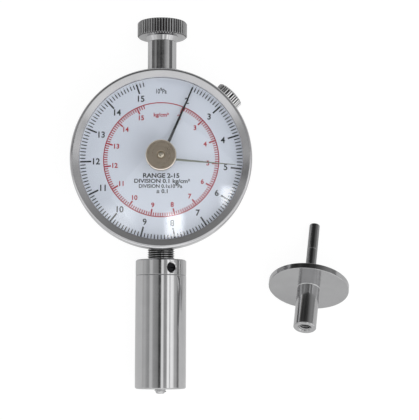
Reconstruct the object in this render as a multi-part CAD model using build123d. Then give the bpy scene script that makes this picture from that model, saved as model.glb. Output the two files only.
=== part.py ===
from build123d import *
import os
from math import acos, atan, cos, degrees, pi, radians, sin, sqrt, tan

os.makedirs("parts", exist_ok=True)

# Fruit firmness tester, lying on the flat back of its dial case.
# The dial axis is Z, the barrel and stem run along Y, and the back face is at Z = 0.
# All lengths are in millimetres and all angles in degrees.

# Fits
RUNNING_FIT = 0.05      # radial gap of a shaft or rod that moves in its bore
TURN_FIT = 0.08         # radial gap of the bezel on the case
SEAT_FIT = 0.05         # radial gap of parts that seat in each other and stay put
FACE_GAP = 0.1          # axial gap between parts that turn past each other
FREE_GAP = 0.3          # gap between parts that pass and never touch

# Scale and rack drive
SCALE_ANGLE = 318.5     # needle swing from the first mark to the last
GEAR_MODULE = 0.2
PINION_TEETH = 15
PRESSURE_ANGLE = 20.0
ADDENDUM = 0.16
DEDENDUM = 0.22
BACKLASH = 0.03

# Case
COVER_THICKNESS = 2.0
CASE_DEPTH = 15.2       # back cover to front rim
CASE_WALL = 2.4
WEB_THICKNESS = 1.6
AXIS_HEIGHT = 10.0      # barrel axis above the back face
STEM_BOSS_RADIUS = 6.5
STEM_BOSS_DEPTH = 4.3   # boss length inside the case wall
SPOT_FACE_DEPTH = 0.6
COVER_PILLAR_RADIUS = 2.2
COVER_PILLAR_BITE = 0.7 # pillar depth into the case wall
COVER_PILLAR_ANGLE = 22.5
COVER_SCREW_RADIUS = 1.0
COVER_SCREW_HEAD_RADIUS = 2.1
COVER_SCREW_LENGTH = 6.5
COVER_SCREW_SUNK = 0.15 # head below the cover's face
COVER_SLOT_WIDTH = 0.5
COVER_SLOT_DEPTH = 0.45
COVER_CHAMFER = 0.4

# Bezel and crystal
BEZEL_RADIUS = 30.0
BEZEL_FACE_WIDTH = 3.0
BEZEL_WALL = 2.0
BEZEL_ROUND = 1.05
BEZEL_CREST = 0.6       # height of the outer edge above the inner lip
LIP_THICKNESS = 0.9
SKIRT_STEP = 0.9
SKIRT_WALL = 0.82
SKIRT_DEPTH = 2.2       # overlap of the skirt on the case
RIM_DROP = 0.2          # full bezel radius starts this far below the case front
WIRE_SIZE = 0.6
WIRE_BELOW_FRONT = 0.6
SNAP_RING_THICKNESS = 0.5
SNAP_RING_WIDTH = 1.8
SNAP_RING_BITE = 0.5
RING_SPLIT_ANGLE = 14.0
DIAL_GAP = 0.5          # snap ring above the case front
DIAL_THICKNESS = 0.4
DIAL_HOLE_RADIUS = 1.6
SPACER_HEIGHT = 2.8
SPACER_WALL = 1.05
FLANGE_THICKNESS = 1.2
CRYSTAL_WALL = 1.3
DOME_RISE = 4.2
DOME_INSET = 0.2        # dome starts this far inside the bezel lip

# Needles and reset knob
ARBOR_RADIUS = 0.8
PIVOT_RADIUS = 0.4
BUSH_RADIUS = 1.9
BUSH_FLANGE = 0.7
BUSH_FLANGE_THICKNESS = 0.4
NEEDLE_ABOVE_DIAL = 1.8
NEEDLE_THICKNESS = 0.25
NEEDLE_LENGTH = 25.0
NEEDLE_ROOT_WIDTH = 1.15
NEEDLE_TIP_WIDTH = 0.4
NEEDLE_TAIL = 3.2
TAIL_TAPER = 0.8        # tail width over root width
NEEDLE_HUB_RADIUS = 1.5
NEEDLE_ANGLE = 23.4     # clockwise from +Y, at the first mark
PEAK_LENGTH = 24.5
PEAK_THICKNESS = 0.2
PEAK_ROOT_WIDTH = 0.85
PEAK_TIP_WIDTH = 0.2
PEAK_HUB_RADIUS = 1.3
PEAK_ANGLE = 94.7
PEAK_PIN_RADIUS = 0.3
PEAK_PIN_OFFSET = 6.0
RESET_SHAFT_RADIUS = 0.9
RESET_BUSH_RADIUS = 1.8
RESET_BUSH_FLANGE = 1.0
RESET_FLANGE_THICKNESS = 0.25
FRICTION_WASHER_THICKNESS = 0.35
RESET_KNOB_RADIUS = 4.95
RESET_KNOB_HEIGHT = 2.75
RESET_KNOB_CHAMFER = 0.35
RESET_RIVET_RADIUS = 1.15
RESET_RIVET_HEIGHT = 0.3

# Straight knurling on both knobs
FLUTE_CREST = 0.3       # flat crest over the flute spacing

# Bezel clamp
CLAMP_ANGLE = 45.7
CLAMP_KNOB_RADIUS = 5.0
CLAMP_KNOB_LENGTH = 5.0 # without its domed end
CLAMP_KNOB_CHAMFER = 0.5
CLAMP_DOME_RISE = 0.75
CLAMP_FLUTES = 33
CLAMP_FLUTE_DEPTH = 0.36
CLAMP_SHANK_RADIUS = 1.45
CLAMP_BOSS_RADIUS = 3.2
CLAMP_BOSS_DEPTH = 4.0
CLAMP_FLAT_DEPTH = 0.5
SHOE_THICKNESS = 1.2
SHOE_WIDTH = 7.4
SHOE_LEDGE = 0.5
SHOE_SKIRT_GAP = 0.2    # ledge below the bezel skirt
SHOE_RIM_GAP = 0.4      # hook below the bezel's full radius
SHOE_HOOK_THICKNESS = 0.7
SHOE_FOOT = 4.0         # shoe plate below the screw axis

# Movement bridge
BRIDGE_THICKNESS = 1.0
BRIDGE_SCREW_X = 8.0
BRIDGE_SCREW_Y = 5.0
BRIDGE_EYE_RADIUS = 1.15
BRIDGE_PAD_RADIUS = 2.2
BRIDGE_SCREW_RADIUS = 0.75
BRIDGE_SCREW_HEAD = 1.5
BRIDGE_HEAD_HEIGHT = 0.8
BRIDGE_SLOT_WIDTH = 0.4
BRIDGE_SLOT_DEPTH = 0.4

# Plunger, rack and barrel
ROD_RADIUS = 2.0
ROD_FLAT_DEPTH = 0.4
ROD_TOP_GUIDE = 2.5     # rod length held in the top stem at rest
ROD_END_CHAMFER = 0.5
RACK_BACK = 2.7         # rack pitch line to its back face
RACK_OVERRUN = 2.3      # rack past the pinion at each end of the travel
RACK_BOTTOM_DROP = 1.4
RACK_KEY_WIDTH = 1.2
RACK_KEY_HEIGHT = 0.35  # key depth inside the web groove
RACK_KEY_OFFSET = 1.6   # rack pitch line to the middle of the key
RACK_SCREW_RADIUS = 0.7
RACK_SCREW_HEAD = 1.2
RACK_HEAD_HEIGHT = 0.6
RACK_SLOT_WIDTH = 0.3
RACK_SLOT_DEPTH = 0.3
STEM_SEAT_RADIUS = 4.5
THREAD_RADIUS = 4.45
THREAD_PITCH = 0.75
THREAD_DEPTH = 0.34
THREAD_GROOVE = 0.8      # groove width over the pitch
EXPOSED_THREAD = 4.67   # case wall to collar
COLLAR_RADIUS = 8.5
COLLAR_LENGTH = 5.23
COLLAR_SPIGOT_RADIUS = 6.5
COLLAR_SPIGOT_LENGTH = 4.0
EDGE_CHAMFER = 0.4
GRUB_RADIUS = 1.5
GRUB_ANGLE = 26.0       # from the front towards +X
GRUB_BELOW_TOP = 2.85
GRUB_RECESS = 1.3
GRUB_CHAMFER = 0.35
GRUB_SLOT_WIDTH = 0.5
GRUB_SLOT_DEPTH = 0.9
BARREL_LENGTH = 37.63
BARREL_BORE = 5.75
NOSE_LENGTH = 15.2
MOUTH_DEPTH = 4.6       # barrel end to the plunger shoulder
MOUTH_CHAMFER = 0.5
SLEEVE_RADIUS = 3.75    # plunger guide and head sleeve
STUD_RADIUS = 1.95
STUD_LENGTH = 6.2
STUD_CHAMFER = 0.8
FLANGE_RADIUS = 5.3
PLUNGER_FLANGE = 1.5
WASHER_BORE = 2.4
WASHER_RADIUS = 5.6
WASHER_THICKNESS = 0.8
SPRING_WIRE = 0.85
SPRING_MEAN_RADIUS = 4.1
SPRING_TURNS = 8.3
SPRING_OVERRUN = 0.25   # turns ground away at each end

# Top stem and knob
TOP_STEM_RADIUS = 4.87
TOP_STEM_LENGTH = 14.1
TOP_SPIGOT_RADIUS = 3.0
TOP_SPIGOT_LENGTH = 4.8
TOP_STEM_END = 3.0      # solid end of the stem above its bore
KNOB_RADIUS = 8.45
KNOB_HEIGHT = 5.2
KNOB_BOSS = 1.6
KNOB_FLARE_RADIUS = 5.6 # boss radius where it meets the rim
KNOB_CHAMFER = 0.45
KNOB_FLUTES = 56
KNOB_FLUTE_DEPTH = 0.36
KNOB_DISH_RADIUS = 6.0
KNOB_DISH_DEPTH = 0.4

# Penetrating head, unscrewed and laid beside the tester
INDENTER_RADIUS = 1.75
INDENTER_LENGTH = 23.2
INDENTER_EDGE = 0.12
DEPTH_MARK = 10.0       # depth line from the tip
DEPTH_MARK_WIDTH = 0.3
DEPTH_MARK_DEPTH = 0.12
DISC_RADIUS = 13.4
DISC_THICKNESS = 2.0
DISC_CHAMFER = 0.12
DISC_SEAT_RADIUS = 2.6
SLEEVE_LENGTH = 14.9
SLEEVE_ROUND = 0.25
SOCKET_RADIUS = 2.0
SOCKET_DEPTH = 7.0
SOCKET_CHAMFER = 0.4
HEAD_TIP_X = 52.8
HEAD_TIP_Y = -20.25
HEAD_HEADING = 8.8      # from +Y towards +X

# Radii that follow
skirt_outer = BEZEL_RADIUS - SKIRT_STEP
skirt_inner = skirt_outer - SKIRT_WALL
case_radius = skirt_inner - TURN_FIT
case_bore = case_radius - CASE_WALL
bezel_bore = BEZEL_RADIUS - BEZEL_WALL
lip_radius = BEZEL_RADIUS - BEZEL_FACE_WIDTH
insert_radius = bezel_bore - SEAT_FIT
pitch_radius = GEAR_MODULE * PINION_TEETH / 2
rack_pitch = pi * GEAR_MODULE
travel = rack_pitch * PINION_TEETH * SCALE_ANGLE / 360

# Heights along the dial axis that follow
case_back = COVER_THICKNESS
case_front = case_back + CASE_DEPTH
web_rear = case_front - WEB_THICKNESS
ring_base = case_front + DIAL_GAP
dial_base = ring_base + SNAP_RING_THICKNESS
dial_face = dial_base + DIAL_THICKNESS
crystal_base = dial_face + SPACER_HEIGHT
crystal_flange = crystal_base + FLANGE_THICKNESS
lip_top = crystal_flange + LIP_THICKNESS
dome_top = crystal_flange + DOME_RISE
bridge_base = AXIS_HEIGHT + ROD_RADIUS + ROD_FLAT_DEPTH
bridge_top = bridge_base + BRIDGE_THICKNESS
pinion_base = bridge_top + FACE_GAP
pinion_top = web_rear - FREE_GAP
needle_base = dial_face + NEEDLE_ABOVE_DIAL
needle_top = needle_base + NEEDLE_THICKNESS
needle_hub_top = needle_top + NEEDLE_THICKNESS
peak_hub_base = needle_hub_top + FREE_GAP
peak_base = peak_hub_base + FACE_GAP
reset_bush_top = dome_top + RESET_FLANGE_THICKNESS
reset_bush_base = dome_top - CRYSTAL_WALL - RESET_FLANGE_THICKNESS - SEAT_FIT
washer_base = reset_bush_base - FRICTION_WASHER_THICKNESS - SEAT_FIT
reset_knob_base = reset_bush_top + 2 * FACE_GAP
reset_knob_top = reset_knob_base + RESET_KNOB_HEIGHT

# Places along the barrel axis that follow
stem_inner = case_bore - STEM_BOSS_DEPTH
shoulder_y = case_radius - SPOT_FACE_DEPTH
stem_top = shoulder_y + TOP_STEM_LENGTH
knob_base = stem_top + KNOB_BOSS
knob_top = knob_base + KNOB_HEIGHT
collar_top = -(case_radius + EXPOSED_THREAD)
barrel_top = collar_top - COLLAR_LENGTH
spigot_end = barrel_top - COLLAR_SPIGOT_LENGTH
barrel_end = barrel_top - BARREL_LENGTH
nose_top = barrel_end + NOSE_LENGTH
plunger_shoulder = barrel_end + MOUTH_DEPTH
stud_end = plunger_shoulder - STUD_LENGTH
flange_top = nose_top + PLUNGER_FLANGE
spring_top = spigot_end - WASHER_THICKNESS
rod_end = stem_inner + ROD_TOP_GUIDE
rack_low = -travel - RACK_OVERRUN
rack_high = RACK_OVERRUN


def turned(points):
    """Solid turned about local Z from a half outline of (radius, height) points."""
    return revolve(Plane.XZ * make_face(Polyline(*points, close=True)), Axis.Z)


def bar(radius, low, high):
    """Round bar about local Z from one height to another."""
    return Pos(0, 0, low) * Cylinder(radius, high - low, align=(Align.CENTER, Align.CENTER, Align.MIN))


def ring(inner, outer, low, high):
    """Plain ring about local Z."""
    return bar(outer, low, high) - bar(inner, low - 1, high + 1)


def block(x_range, y_range, z_range):
    """Box between two limits on each axis."""
    spans = (x_range, y_range, z_range)
    size = [high - low for low, high in spans]
    middle = [(high + low) / 2 for low, high in spans]
    return Pos(*middle) * Box(*size)


def split_gap(radius, low, high):
    """Wedge that opens a split ring, centred on +X."""
    half = radians(RING_SPLIT_ANGLE / 2)
    reach = 2 * radius
    corners = [(0, 0), (reach, -reach * tan(half)), (reach, reach * tan(half))]
    return Pos(0, 0, low) * extrude(make_face(Polyline(*corners, close=True)), high - low)


def fluted_bar(radius, depth, count, low, high):
    """Bar with straight knurled flutes, each a V groove beside a flat crest."""
    step = 2 * pi / count
    crest_end = FLUTE_CREST * step
    groove_middle = (step + crest_end) / 2
    points = []
    for tooth in range(count):
        start = tooth * step
        for angle, reach in ((0, radius), (crest_end, radius), (groove_middle, radius - depth)):
            points.append((reach * cos(start + angle), reach * sin(start + angle)))
    return Pos(0, 0, low) * extrude(make_face(Polyline(*points, close=True)), high - low)


# The clamp hangs from the bezel skirt: hook, ledge, then the knob below the ledge
skirt_base = case_front - SKIRT_DEPTH
rim_base = case_front - RIM_DROP
clamp_flat = case_radius - CLAMP_FLAT_DEPTH
shoe_face = clamp_flat + SHOE_THICKNESS
hook_inner = skirt_outer + FACE_GAP
hook_outer = hook_inner + SHOE_HOOK_THICKNESS
hook_top = rim_base - SHOE_RIM_GAP
ledge_top = skirt_base - SHOE_SKIRT_GAP
ledge_base = ledge_top - SHOE_LEDGE
clamp_height = ledge_base - FREE_GAP - CLAMP_KNOB_RADIUS

# Placements: the barrel axis along +Y, and the clamp axis out through the case wall
STEM = Location((0, 0, AXIS_HEIGHT), (-90, 0, 0))
CLAMP = Pos(0, 0, clamp_height) * Rot(0, 0, CLAMP_ANGLE) * Rot(0, 90, 0)

pillar_circle = case_bore - COVER_PILLAR_RADIUS + COVER_PILLAR_BITE
pillar_places = [
    Rot(0, 0, COVER_PILLAR_ANGLE + 90 * quarter) * Pos(pillar_circle, 0, 0)
    for quarter in range(4)
]
bridge_places = [Pos(BRIDGE_SCREW_X, side * BRIDGE_SCREW_Y, 0) for side in (-1, 1)]

rack_face = -pitch_radius
rack_back = rack_face - RACK_BACK
rod_flat = -(ROD_RADIUS - ROD_FLAT_DEPTH)
key_middle = rack_face - RACK_KEY_OFFSET
key_low = key_middle - RACK_KEY_WIDTH / 2
key_high = key_middle + RACK_KEY_WIDTH / 2
key_top = web_rear + RACK_KEY_HEIGHT
rack_screw_places = (rack_low + RACK_OVERRUN, rack_high - RACK_OVERRUN)


def case():
    """Cup with a front web, bosses for the two stems and the clamp, and pillars for the screws."""
    wire_seat = case_radius - WIRE_SIZE / 2
    wire_top = case_front - WIRE_BELOW_FRONT
    cup = turned([
        (case_bore, case_back),
        (case_radius, case_back),
        (case_radius, wire_top - WIRE_SIZE),
        (wire_seat, wire_top - WIRE_SIZE),
        (wire_seat, wire_top),
        (case_radius, wire_top),
        (case_radius, case_front),
        (BUSH_RADIUS, case_front),
        (BUSH_RADIUS, web_rear),
        (case_bore, web_rear),
    ])
    wall_middle = case_radius - CASE_WALL / 2
    cup += STEM * bar(STEM_BOSS_RADIUS, stem_inner, wall_middle)
    cup += STEM * bar(STEM_BOSS_RADIUS, -wall_middle, -stem_inner)
    cup += CLAMP * bar(CLAMP_BOSS_RADIUS, case_bore - CLAMP_BOSS_DEPTH, wall_middle)
    for place in pillar_places:
        cup += place * bar(COVER_PILLAR_RADIUS, case_back, web_rear)
    for place in bridge_places:
        cup += place * bar(BRIDGE_PAD_RADIUS, bridge_top, web_rear)
    cup -= STEM * bar(STEM_SEAT_RADIUS, -case_radius - 1, -stem_inner + 1)
    cup -= STEM * bar(STEM_SEAT_RADIUS, stem_inner - 1, case_radius + 1)
    cup -= STEM * bar(TOP_STEM_RADIUS + FREE_GAP, shoulder_y, case_radius + 1)
    cup -= CLAMP * bar(CLAMP_SHANK_RADIUS + RUNNING_FIT, case_bore - CLAMP_BOSS_DEPTH - 1, case_radius + 1)
    half_flat = SHOE_WIDTH / 2 + FREE_GAP
    flat_low = clamp_height - SHOE_FOOT - FREE_GAP
    flat = block((clamp_flat, case_radius + 1), (-half_flat, half_flat), (flat_low, ledge_top + FACE_GAP))
    cup -= Rot(0, 0, CLAMP_ANGLE) * flat
    for place in pillar_places:
        cup -= place * bar(COVER_SCREW_RADIUS + SEAT_FIT, case_back - 1, COVER_SCREW_LENGTH + 1)
    for place in bridge_places:
        cup -= place * bar(BRIDGE_SCREW_RADIUS + SEAT_FIT, bridge_top - 1, case_front - SPOT_FACE_DEPTH)
    key_slot = block(
        (key_low - RUNNING_FIT, key_high + RUNNING_FIT),
        (rack_low - RACK_OVERRUN, travel + 2 * RACK_OVERRUN),
        (web_rear - 1, key_top + FREE_GAP),
    )
    return cup - key_slot


def back_cover():
    """Flat turned cover with four countersunk holes."""
    cover = turned([
        (0, 0),
        (case_radius - COVER_CHAMFER, 0),
        (case_radius, COVER_CHAMFER),
        (case_radius, COVER_THICKNESS),
        (0, COVER_THICKNESS),
    ])
    sink = turned([
        (0, -1),
        (COVER_SCREW_HEAD_RADIUS + 1 + SEAT_FIT, -1),
        (COVER_SCREW_RADIUS + SEAT_FIT, COVER_SCREW_HEAD_RADIUS - COVER_SCREW_RADIUS),
        (COVER_SCREW_RADIUS + SEAT_FIT, COVER_THICKNESS + 1),
        (0, COVER_THICKNESS + 1),
    ])
    for place in pillar_places:
        cover -= place * sink
    return cover


def cover_screws():
    """Four countersunk slotted screws."""
    cone = COVER_SCREW_HEAD_RADIUS - COVER_SCREW_RADIUS
    screw = turned([
        (0, COVER_SCREW_SUNK),
        (COVER_SCREW_HEAD_RADIUS - COVER_SCREW_SUNK, COVER_SCREW_SUNK),
        (COVER_SCREW_RADIUS, cone),
        (COVER_SCREW_RADIUS, COVER_SCREW_LENGTH),
        (0, COVER_SCREW_LENGTH),
    ])
    screw -= block(
        (-COVER_SCREW_HEAD_RADIUS, COVER_SCREW_HEAD_RADIUS),
        (-COVER_SLOT_WIDTH / 2, COVER_SLOT_WIDTH / 2),
        (0, COVER_SCREW_SUNK + COVER_SLOT_DEPTH),
    )
    return Compound([place * screw for place in pillar_places])


def bezel():
    """Turned bezel: skirt on the case, bore for the dial stack, and a face that falls to the crystal."""
    wire_low = case_front - WIRE_BELOW_FRONT - WIRE_SIZE - FACE_GAP
    wire_high = case_front - WIRE_BELOW_FRONT + FACE_GAP
    wire_groove = case_radius + WIRE_SIZE / 2 + FACE_GAP
    ring_groove = bezel_bore + SNAP_RING_BITE + SEAT_FIT
    crest_radius = BEZEL_RADIUS - BEZEL_ROUND
    crest = lip_top + BEZEL_CREST
    corner = (1 - sqrt(0.5)) * BEZEL_ROUND
    rounded = ThreePointArc(
        (BEZEL_RADIUS, crest - BEZEL_ROUND),
        (BEZEL_RADIUS - corner, crest - corner),
        (crest_radius, crest),
    )
    rest = Polyline(
        (crest_radius, crest),
        (lip_radius, lip_top),
        (lip_radius, crystal_flange),
        (bezel_bore, crystal_flange),
        (bezel_bore, dial_base),
        (ring_groove, dial_base),
        (ring_groove, ring_base),
        (skirt_inner, ring_base),
        (skirt_inner, wire_high),
        (wire_groove, wire_high),
        (wire_groove, wire_low),
        (skirt_inner, wire_low),
        (skirt_inner, skirt_base),
        (skirt_outer, skirt_base),
        (skirt_outer, rim_base),
        (BEZEL_RADIUS - RIM_DROP, rim_base),
        (BEZEL_RADIUS, rim_base + RIM_DROP),
        (BEZEL_RADIUS, crest - BEZEL_ROUND),
    )
    return revolve(Plane.XZ * make_face([*rounded.edges(), *rest.edges()]), Axis.Z)


def bezel_wire():
    """Split wire ring in the case groove that keeps the bezel on."""
    top = case_front - WIRE_BELOW_FRONT
    wire = ring(case_radius - WIRE_SIZE / 2, case_radius + WIRE_SIZE / 2, top - WIRE_SIZE, top)
    return wire - Rot(0, 0, -90) * split_gap(case_radius, top - WIRE_SIZE, top)


def dial_snap_ring():
    """Split flat ring that holds the dial in the bezel from behind."""
    outer = bezel_bore + SNAP_RING_BITE
    flat = ring(outer - SNAP_RING_WIDTH, outer, ring_base, dial_base)
    return flat - Rot(0, 0, -90) * split_gap(outer, ring_base, dial_base)


def dial_plate():
    """Thin dial plate with its centre hole."""
    return ring(DIAL_HOLE_RADIUS, insert_radius, dial_base, dial_face)


def spacer_ring():
    """Ring between the dial and the crystal."""
    return ring(insert_radius - SPACER_WALL, insert_radius, dial_face, crystal_base)


def crystal():
    """Domed clear cover with a flat flange, bored for the reset bush."""
    outer_edge = lip_radius - DOME_INSET
    inner_edge = outer_edge - FLANGE_THICKNESS / 2
    inner_top = dome_top - CRYSTAL_WALL
    outer_bow = (outer_edge**2 + DOME_RISE**2) / (2 * DOME_RISE)
    inner_rise = inner_top - crystal_base
    inner_bow = (inner_edge**2 + inner_rise**2) / (2 * inner_rise)
    hole = RESET_BUSH_RADIUS
    outer_hole = dome_top - outer_bow + sqrt(outer_bow**2 - hole**2)
    inner_hole = inner_top - inner_bow + sqrt(inner_bow**2 - hole**2)
    outer_mid = outer_edge / 2
    inner_mid = inner_edge / 2
    outer_mid_height = dome_top - outer_bow + sqrt(outer_bow**2 - outer_mid**2)
    inner_mid_height = inner_top - inner_bow + sqrt(inner_bow**2 - inner_mid**2)
    outside = ThreePointArc(
        (outer_edge, crystal_flange),
        (outer_mid, outer_mid_height),
        (hole, outer_hole),
    )
    inside = ThreePointArc(
        (hole, inner_hole),
        (inner_mid, inner_mid_height),
        (inner_edge, crystal_base),
    )
    bush_hole = Line((hole, outer_hole), (hole, inner_hole))
    flange = Polyline(
        (inner_edge, crystal_base),
        (insert_radius, crystal_base),
        (insert_radius, crystal_flange),
        (outer_edge, crystal_flange),
    )
    outline = [*outside.edges(), *bush_hole.edges(), *inside.edges(), *flange.edges()]
    return revolve(Plane.XZ * make_face(outline), Axis.Z)


def reset_bush():
    """Brass bush spun into the crystal, a bearing for the reset shaft."""
    flange = RESET_BUSH_RADIUS + RESET_BUSH_FLANGE
    bore = RESET_SHAFT_RADIUS + RUNNING_FIT
    body = bar(RESET_BUSH_RADIUS, reset_bush_base, reset_bush_top)
    body += bar(flange, dome_top, reset_bush_top)
    body += bar(flange, reset_bush_base, reset_bush_base + RESET_FLANGE_THICKNESS)
    return body - bar(bore, reset_bush_base - 1, reset_bush_top + 1)


def reset_shaft():
    """Steel shaft through the crystal, its outer end riveted over the knob."""
    shaft = bar(RESET_SHAFT_RADIUS, peak_hub_base, reset_knob_top)
    return shaft + bar(RESET_RIVET_RADIUS, reset_knob_top, reset_knob_top + RESET_RIVET_HEIGHT)


def reset_knob():
    """Brass finger knob on the reset shaft."""
    edge = RESET_KNOB_RADIUS - RESET_KNOB_CHAMFER
    knob = turned([
        (RESET_SHAFT_RADIUS, reset_knob_base),
        (edge, reset_knob_base),
        (RESET_KNOB_RADIUS, reset_knob_base + RESET_KNOB_CHAMFER),
        (RESET_KNOB_RADIUS, reset_knob_top - RESET_KNOB_CHAMFER),
        (edge, reset_knob_top),
        (RESET_SHAFT_RADIUS, reset_knob_top),
    ])
    return knob


def friction_washer():
    """Washer between the peak needle's hub and the reset bush."""
    outer = RESET_BUSH_RADIUS + RESET_BUSH_FLANGE / 2
    return ring(RESET_SHAFT_RADIUS, outer, washer_base, washer_base + FRICTION_WASHER_THICKNESS)


def blade(length, tail, root_width, tip_width, base, thickness):
    """Tapered needle blade along +Y with a short tail."""
    tail_width = root_width * TAIL_TAPER
    outline = [
        (-tip_width / 2, length),
        (-root_width / 2, 0),
        (-tail_width / 2, -tail),
        (tail_width / 2, -tail),
        (root_width / 2, 0),
        (tip_width / 2, length),
    ]
    return Pos(0, 0, base) * extrude(make_face(Polyline(*outline, close=True)), thickness)


def needle():
    """Black needle with its hub, pressed on the pinion arbor."""
    flat = blade(
        NEEDLE_LENGTH,
        NEEDLE_TAIL,
        NEEDLE_ROOT_WIDTH,
        NEEDLE_TIP_WIDTH,
        needle_base,
        NEEDLE_THICKNESS,
    )
    hub = bar(NEEDLE_HUB_RADIUS, needle_base - NEEDLE_ABOVE_DIAL / 2, needle_hub_top)
    arbor_hole = bar(ARBOR_RADIUS, dial_face, needle_base)
    return Rot(0, 0, -NEEDLE_ANGLE) * (flat + hub - arbor_hole)


def peak_needle():
    """Thin needle that stays at the highest reading, with the pin the black needle meets."""
    flat = blade(
        PEAK_LENGTH,
        PEAK_HUB_RADIUS,
        PEAK_ROOT_WIDTH,
        PEAK_TIP_WIDTH,
        peak_base,
        PEAK_THICKNESS,
    )
    flat += bar(PEAK_HUB_RADIUS, peak_hub_base, washer_base)
    flat += Pos(0, PEAK_PIN_OFFSET, 0) * bar(PEAK_PIN_RADIUS, needle_top + FREE_GAP, peak_base)
    flat -= bar(RESET_SHAFT_RADIUS, peak_hub_base - 1, washer_base + 1)
    return Rot(0, 0, -PEAK_ANGLE) * flat


def pinion_outline():
    """Involute teeth about the centre, with a tooth space facing the rack."""
    pressure = radians(PRESSURE_ANGLE)
    base_radius = pitch_radius * cos(pressure)
    tip = pitch_radius + ADDENDUM
    root = pitch_radius - DEDENDUM
    half_tooth = (rack_pitch / 2 - BACKLASH) / 2 / pitch_radius + tan(pressure) - pressure
    flank = []
    for step in range(4):
        reach = base_radius + (tip - base_radius) * step / 3
        roll = acos(min(1, base_radius / reach))
        flank.append((reach, half_tooth - tan(roll) + roll))
    tooth = [(root, flank[0][1])] + flank
    points = []
    for index in range(PINION_TEETH):
        centre = pi + (index + 0.5) * 2 * pi / PINION_TEETH
        for reach, angle in tooth:
            points.append((reach * cos(centre - angle), reach * sin(centre - angle)))
        for reach, angle in reversed(tooth):
            points.append((reach * cos(centre + angle), reach * sin(centre + angle)))
    return points


def pinion_arbor():
    """Arbor cut with the pinion, carrying the black needle on its front end."""
    outline = make_face(Polyline(*pinion_outline(), close=True))
    arbor = Pos(0, 0, pinion_base) * extrude(outline, pinion_top - pinion_base)
    arbor += bar(PIVOT_RADIUS, bridge_base + FACE_GAP, pinion_base)
    return arbor + bar(ARBOR_RADIUS, pinion_top, needle_base)


def front_bush():
    """Brass bearing pressed in the case web."""
    flange = BUSH_RADIUS + BUSH_FLANGE
    bush = bar(BUSH_RADIUS, web_rear, case_front)
    bush += bar(flange, case_front, case_front + BUSH_FLANGE_THICKNESS)
    return bush - bar(ARBOR_RADIUS + RUNNING_FIT, web_rear - 1, case_front + 1)


def pinion_bridge():
    """Bridge that carries the rear pivot, screwed to two pads of the web."""
    eye = (0, 0)
    low_pad = (BRIDGE_SCREW_X, -BRIDGE_SCREW_Y)
    high_pad = (BRIDGE_SCREW_X, BRIDGE_SCREW_Y)
    arms = make_hull([
        *(Pos(*eye) * Circle(BRIDGE_EYE_RADIUS)).edges(),
        *(Pos(*low_pad) * Circle(BRIDGE_PAD_RADIUS)).edges(),
        *(Pos(*high_pad) * Circle(BRIDGE_PAD_RADIUS)).edges(),
    ])
    bridge = Pos(0, 0, bridge_base) * extrude(arms, BRIDGE_THICKNESS)
    bridge -= bar(PIVOT_RADIUS + RUNNING_FIT, bridge_base - 1, bridge_top + 1)
    for place in bridge_places:
        bridge -= place * bar(BRIDGE_SCREW_RADIUS + SEAT_FIT, bridge_base - 1, bridge_top + 1)
    return bridge


def bridge_screws():
    """Two slotted cheese-head screws."""
    head_base = bridge_base - BRIDGE_HEAD_HEIGHT
    screw = bar(BRIDGE_SCREW_HEAD, head_base, bridge_base)
    screw += bar(BRIDGE_SCREW_RADIUS, bridge_base, web_rear)
    screw -= block(
        (-BRIDGE_SCREW_HEAD, BRIDGE_SCREW_HEAD),
        (-BRIDGE_SLOT_WIDTH / 2, BRIDGE_SLOT_WIDTH / 2),
        (head_base - 1, head_base + BRIDGE_SLOT_DEPTH),
    )
    return Compound([place * screw for place in bridge_places])


def clamp_screw():
    """Fluted clamp knob with a domed end, turned in one piece with its shank."""
    knob_start = shoe_face + FACE_GAP
    knob_end = knob_start + CLAMP_KNOB_LENGTH
    knob_peak = knob_end + CLAMP_DOME_RISE
    edge = CLAMP_KNOB_RADIUS - CLAMP_KNOB_CHAMFER
    bow = (edge**2 + CLAMP_DOME_RISE**2) / (2 * CLAMP_DOME_RISE)
    sides = Polyline(
        (0, knob_peak),
        (0, case_bore - CLAMP_BOSS_DEPTH),
        (CLAMP_SHANK_RADIUS, case_bore - CLAMP_BOSS_DEPTH),
        (CLAMP_SHANK_RADIUS, knob_start),
        (edge, knob_start),
        (CLAMP_KNOB_RADIUS, knob_start + CLAMP_KNOB_CHAMFER),
        (CLAMP_KNOB_RADIUS, knob_end - CLAMP_KNOB_CHAMFER),
        (edge, knob_end),
    )
    dome = ThreePointArc(
        (edge, knob_end),
        (edge / 2, knob_peak - bow + sqrt(bow**2 - (edge / 2) ** 2)),
        (0, knob_peak),
    )
    blank = revolve(Plane.XZ * make_face([*sides.edges(), *dome.edges()]), Axis.Z)
    flutes = fluted_bar(CLAMP_KNOB_RADIUS, CLAMP_FLUTE_DEPTH, CLAMP_FLUTES, 0, knob_peak + 1)
    return CLAMP * (blank & flutes)


def clamp_shoe():
    """Shoe under the clamp knob, with a lip that grips the bezel skirt."""
    half = SHOE_WIDTH / 2
    foot = clamp_height - SHOE_FOOT
    plate = block((clamp_flat, shoe_face), (-half, half), (foot, ledge_top))
    ledge = block((clamp_flat, hook_outer), (-half, half), (ledge_base, ledge_top))
    hook = ring(hook_inner, hook_outer, ledge_base, hook_top)
    hook &= block((0, hook_outer + 1), (-half, half), (ledge_base, hook_top))
    shoe = plate + (ledge & bar(hook_outer, ledge_base, ledge_top)) + hook
    shank_hole = bar(CLAMP_SHANK_RADIUS + FREE_GAP, clamp_flat - 1, shoe_face + 1)
    return Rot(0, 0, CLAMP_ANGLE) * shoe - CLAMP * shank_hole


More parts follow.
